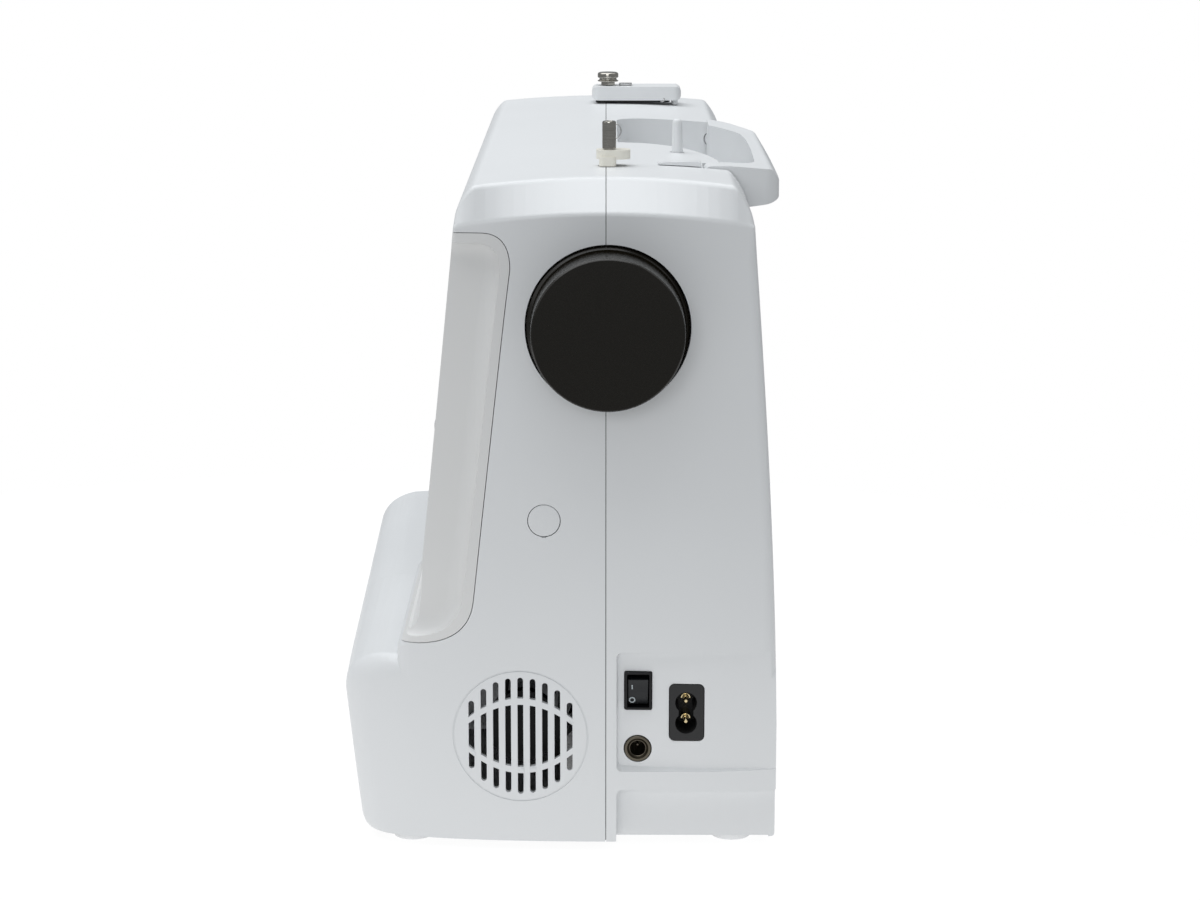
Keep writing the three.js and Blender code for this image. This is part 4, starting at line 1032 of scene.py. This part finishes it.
def make_display():
    left, right, low, high = LCD
    window = prism(rounded_rectangle(left + GAP, right - GAP, low + GAP, high - GAP, 3), "y", -90, -55)
    back = copied(OUTER)
    back.transform(Matrix.Translation((0, 1.6, 0)))
    mesh = cut(keep(copied(OUTER), window), back)
    finish_piece("lcd_lens_moulded", mesh, "machine_body", CLEAR, ["lcd_lens"], bevel=0.2)


def make_keys():
    face = front_face_y(KEY_Z)
    for i, x in enumerate(KEY_X):
        cap = prism(rounded_rectangle(x - 7, x + 7, KEY_Z - 4, KEY_Z + 4, 2.2, 8), "y", face - 0.6, -60.5)
        dish = rod("x", (0, face - 10.2, KEY_Z), 10, x - 5.4, x + 5.4, 96)
        stem = box(x - 2, x + 2, -61, -56, KEY_Z - 2, KEY_Z + 2)
        mesh = cut(join(cap, stem), dish)
        finish_piece(f"pattern_key_{i + 1}_moulded", mesh, f"key_{i + 1}_body", GREY_KEY,
                     [f"pattern_key_{i + 1}"], bevel=0.35, segments=3)


def make_buttons():
    for name, (x, z, r) in BUTTONS.items():
        profile = [(0, -1.25), (r * 0.5, -1.35), (r * 0.78, -1.55), (r - 0.9, -1.6), (r - 0.3, -1.4),
                   (r, -0.9), (r, 6), (2.5, 6), (2.5, 12), (0, 12)]
        mesh = turned(profile, "y", (x, front_face_y(z), z), 56)
        finish_piece(f"{name}_moulded", mesh, f"{name}_body", GREY_KEY, [f"{name}_button"],
                     angle=40)


def make_slider():
    x, z = SLIDER
    face = front_face_y(z)
    thumb = join(box(x - 6, x + 6, face - 2.4, face + 6, z - 3, z + 3),
                 box(x - 8, x + 8, face + 4, face + 7, z - 6, z + 6))
    grooves = [rod("z", (x + dx, face - 2.8, 0), 0.8, z - 4, z + 4, 24) for dx in (-4, -2, 0, 2, 4)]
    finish_piece("speed_slider_moulded", cut(thumb, *grooves), "speed_slider_body", GREY_KEY,
                 ["speed_slider"], bevel=0.25, segments=3)


def make_dial():
    x, z, r = DIAL
    face = front_face_y(z)
    profile = [(0, -3.8), (r - 3, -3.8), (r - 1.8, -4), (r - 1, -3.8), (r - 0.2, -3.2), (r, -2.4), (r, 8),
               (4, 8), (4, 20), (0, 20)]
    flutes = [rod("y", (a, 0, b), 0.7, face - 5, face + 1, 16) for a, b in circle(x, z, r + 0.35, 36)]
    pointer = box(x - 0.4, x + 0.4, face - 4.2, face - 3.4, z + 5, z + 9.5)
    mesh = cut(turned(profile, "y", (x, face, z), 144), *flutes, pointer)
    finish_piece("tension_dial_moulded", mesh, "tension_dial_body", PANEL, ["tension_dial"])


# ------------------------------------------------------------------ needle area
def make_needle_area():
    plate = box(-361.4, -304.6, -12.6, 38.4, 73.2, BED_TOP)
    slots = [prism(rounded_rectangle(x, x + 3.4, 0, 16, 0.6), "z", 60, 90) for x in (-342, -331)]
    hole = prism(rounded_rectangle(-338.5, -331.5, -4.5, -1.5, 1.4), "z", 60, 90)
    lines = [box(x, x + 0.35, 18, 37, BED_TOP - 0.15, 90) for x in (-352, -347, -326, -321, -316)]
    screws = [rod("z", (x, 30, 0), 2.6, BED_TOP - 0.7, 90, 32) for x in (-357, -309)]
    finish_piece("needle_plate_milled", cut(plate, *slots, hole, *lines, *screws), "machine_body", STEEL,
                 ["needle_plate"], bevel=0.15)
    cover = prism(rounded_rectangle(-361.4, -304.6, -38.4, -13.2, 2, 6), "z", 73.2, BED_TOP)
    pull = rod("x", (0, -27, BED_TOP + 4.4), 5, -325, -311, 48)
    finish_piece("bobbin_cover_moulded", cut(cover, pull), "bobbin_cover_body", CLEAR, ["bobbin_cover"],
                 bevel=0.2)
    rails = [box(x + 0.6, x + 2.8, 2, 14, 68, 75) for x in (-342, -331)]
    teeth = join(box(-343, -326, 2, 14, 64, 69), *rails)
    cuts = [prism([(2.2 + k, 76), (2.7 + k, 74.2), (3.2 + k, 76)], "x", -345, -324) for k in range(12)]
    finish_piece("feed_dog_milled", cut(teeth, *cuts), "feed_dog_body", STEEL, ["feed_dog"])


make_front_cover()
make_rear_cover()
make_front_panel()
make_face_cover()
make_seam_shade_strip()
make_free_arm()
make_accessory_box()
make_handwheel()
make_belt_cap()
make_switch()
make_inlet()
make_foot_jack()
make_winder()
make_thread_cutter()
make_spool_pin()
make_thread_guide()
make_carry_handle()
make_display()
make_keys()
make_buttons()
make_slider()
make_dial()
make_needle_area()

# ------------------------------------------------------------------ parts kept from the CAD model
BY_SLOT = {
    "white_shell": WHITE, "panel_white": PANEL, "cream_acetal": CREAM, "grey_plate": BASE_GREY,
    "clear_lens": CLEAR, "board_green": BOARD, "wheel_black": WHEEL, "socket_black": BLACK,
    "pin_brass": BRASS, "bright_chrome": CHROME, "steel": STEEL, "frame_casting": CASTING,
    "motor_can": MOTOR_CAN, "belt_rubber": RUBBER, "foot_rubber": FOOT_RUBBER, "key_grey": GREY_KEY,
}

for part in frame["record"]["subparts"]:
    node = frame["nodes"][part["node"]]
    node.data.materials.clear()
    node.data.materials.append(BY_SLOT[part["material_slot"]])
    node.data.shade_smooth()
    node.data.set_sharp_from_angle(angle=math.radians(35))
    if not node.hide_render:
        edges = node.modifiers.new("edges", "BEVEL")
        edges.width = 0.0002
        edges.segments = 2
        edges.limit_method = "ANGLE"
        edges.angle_limit = math.radians(35)
        edges.harden_normals = True
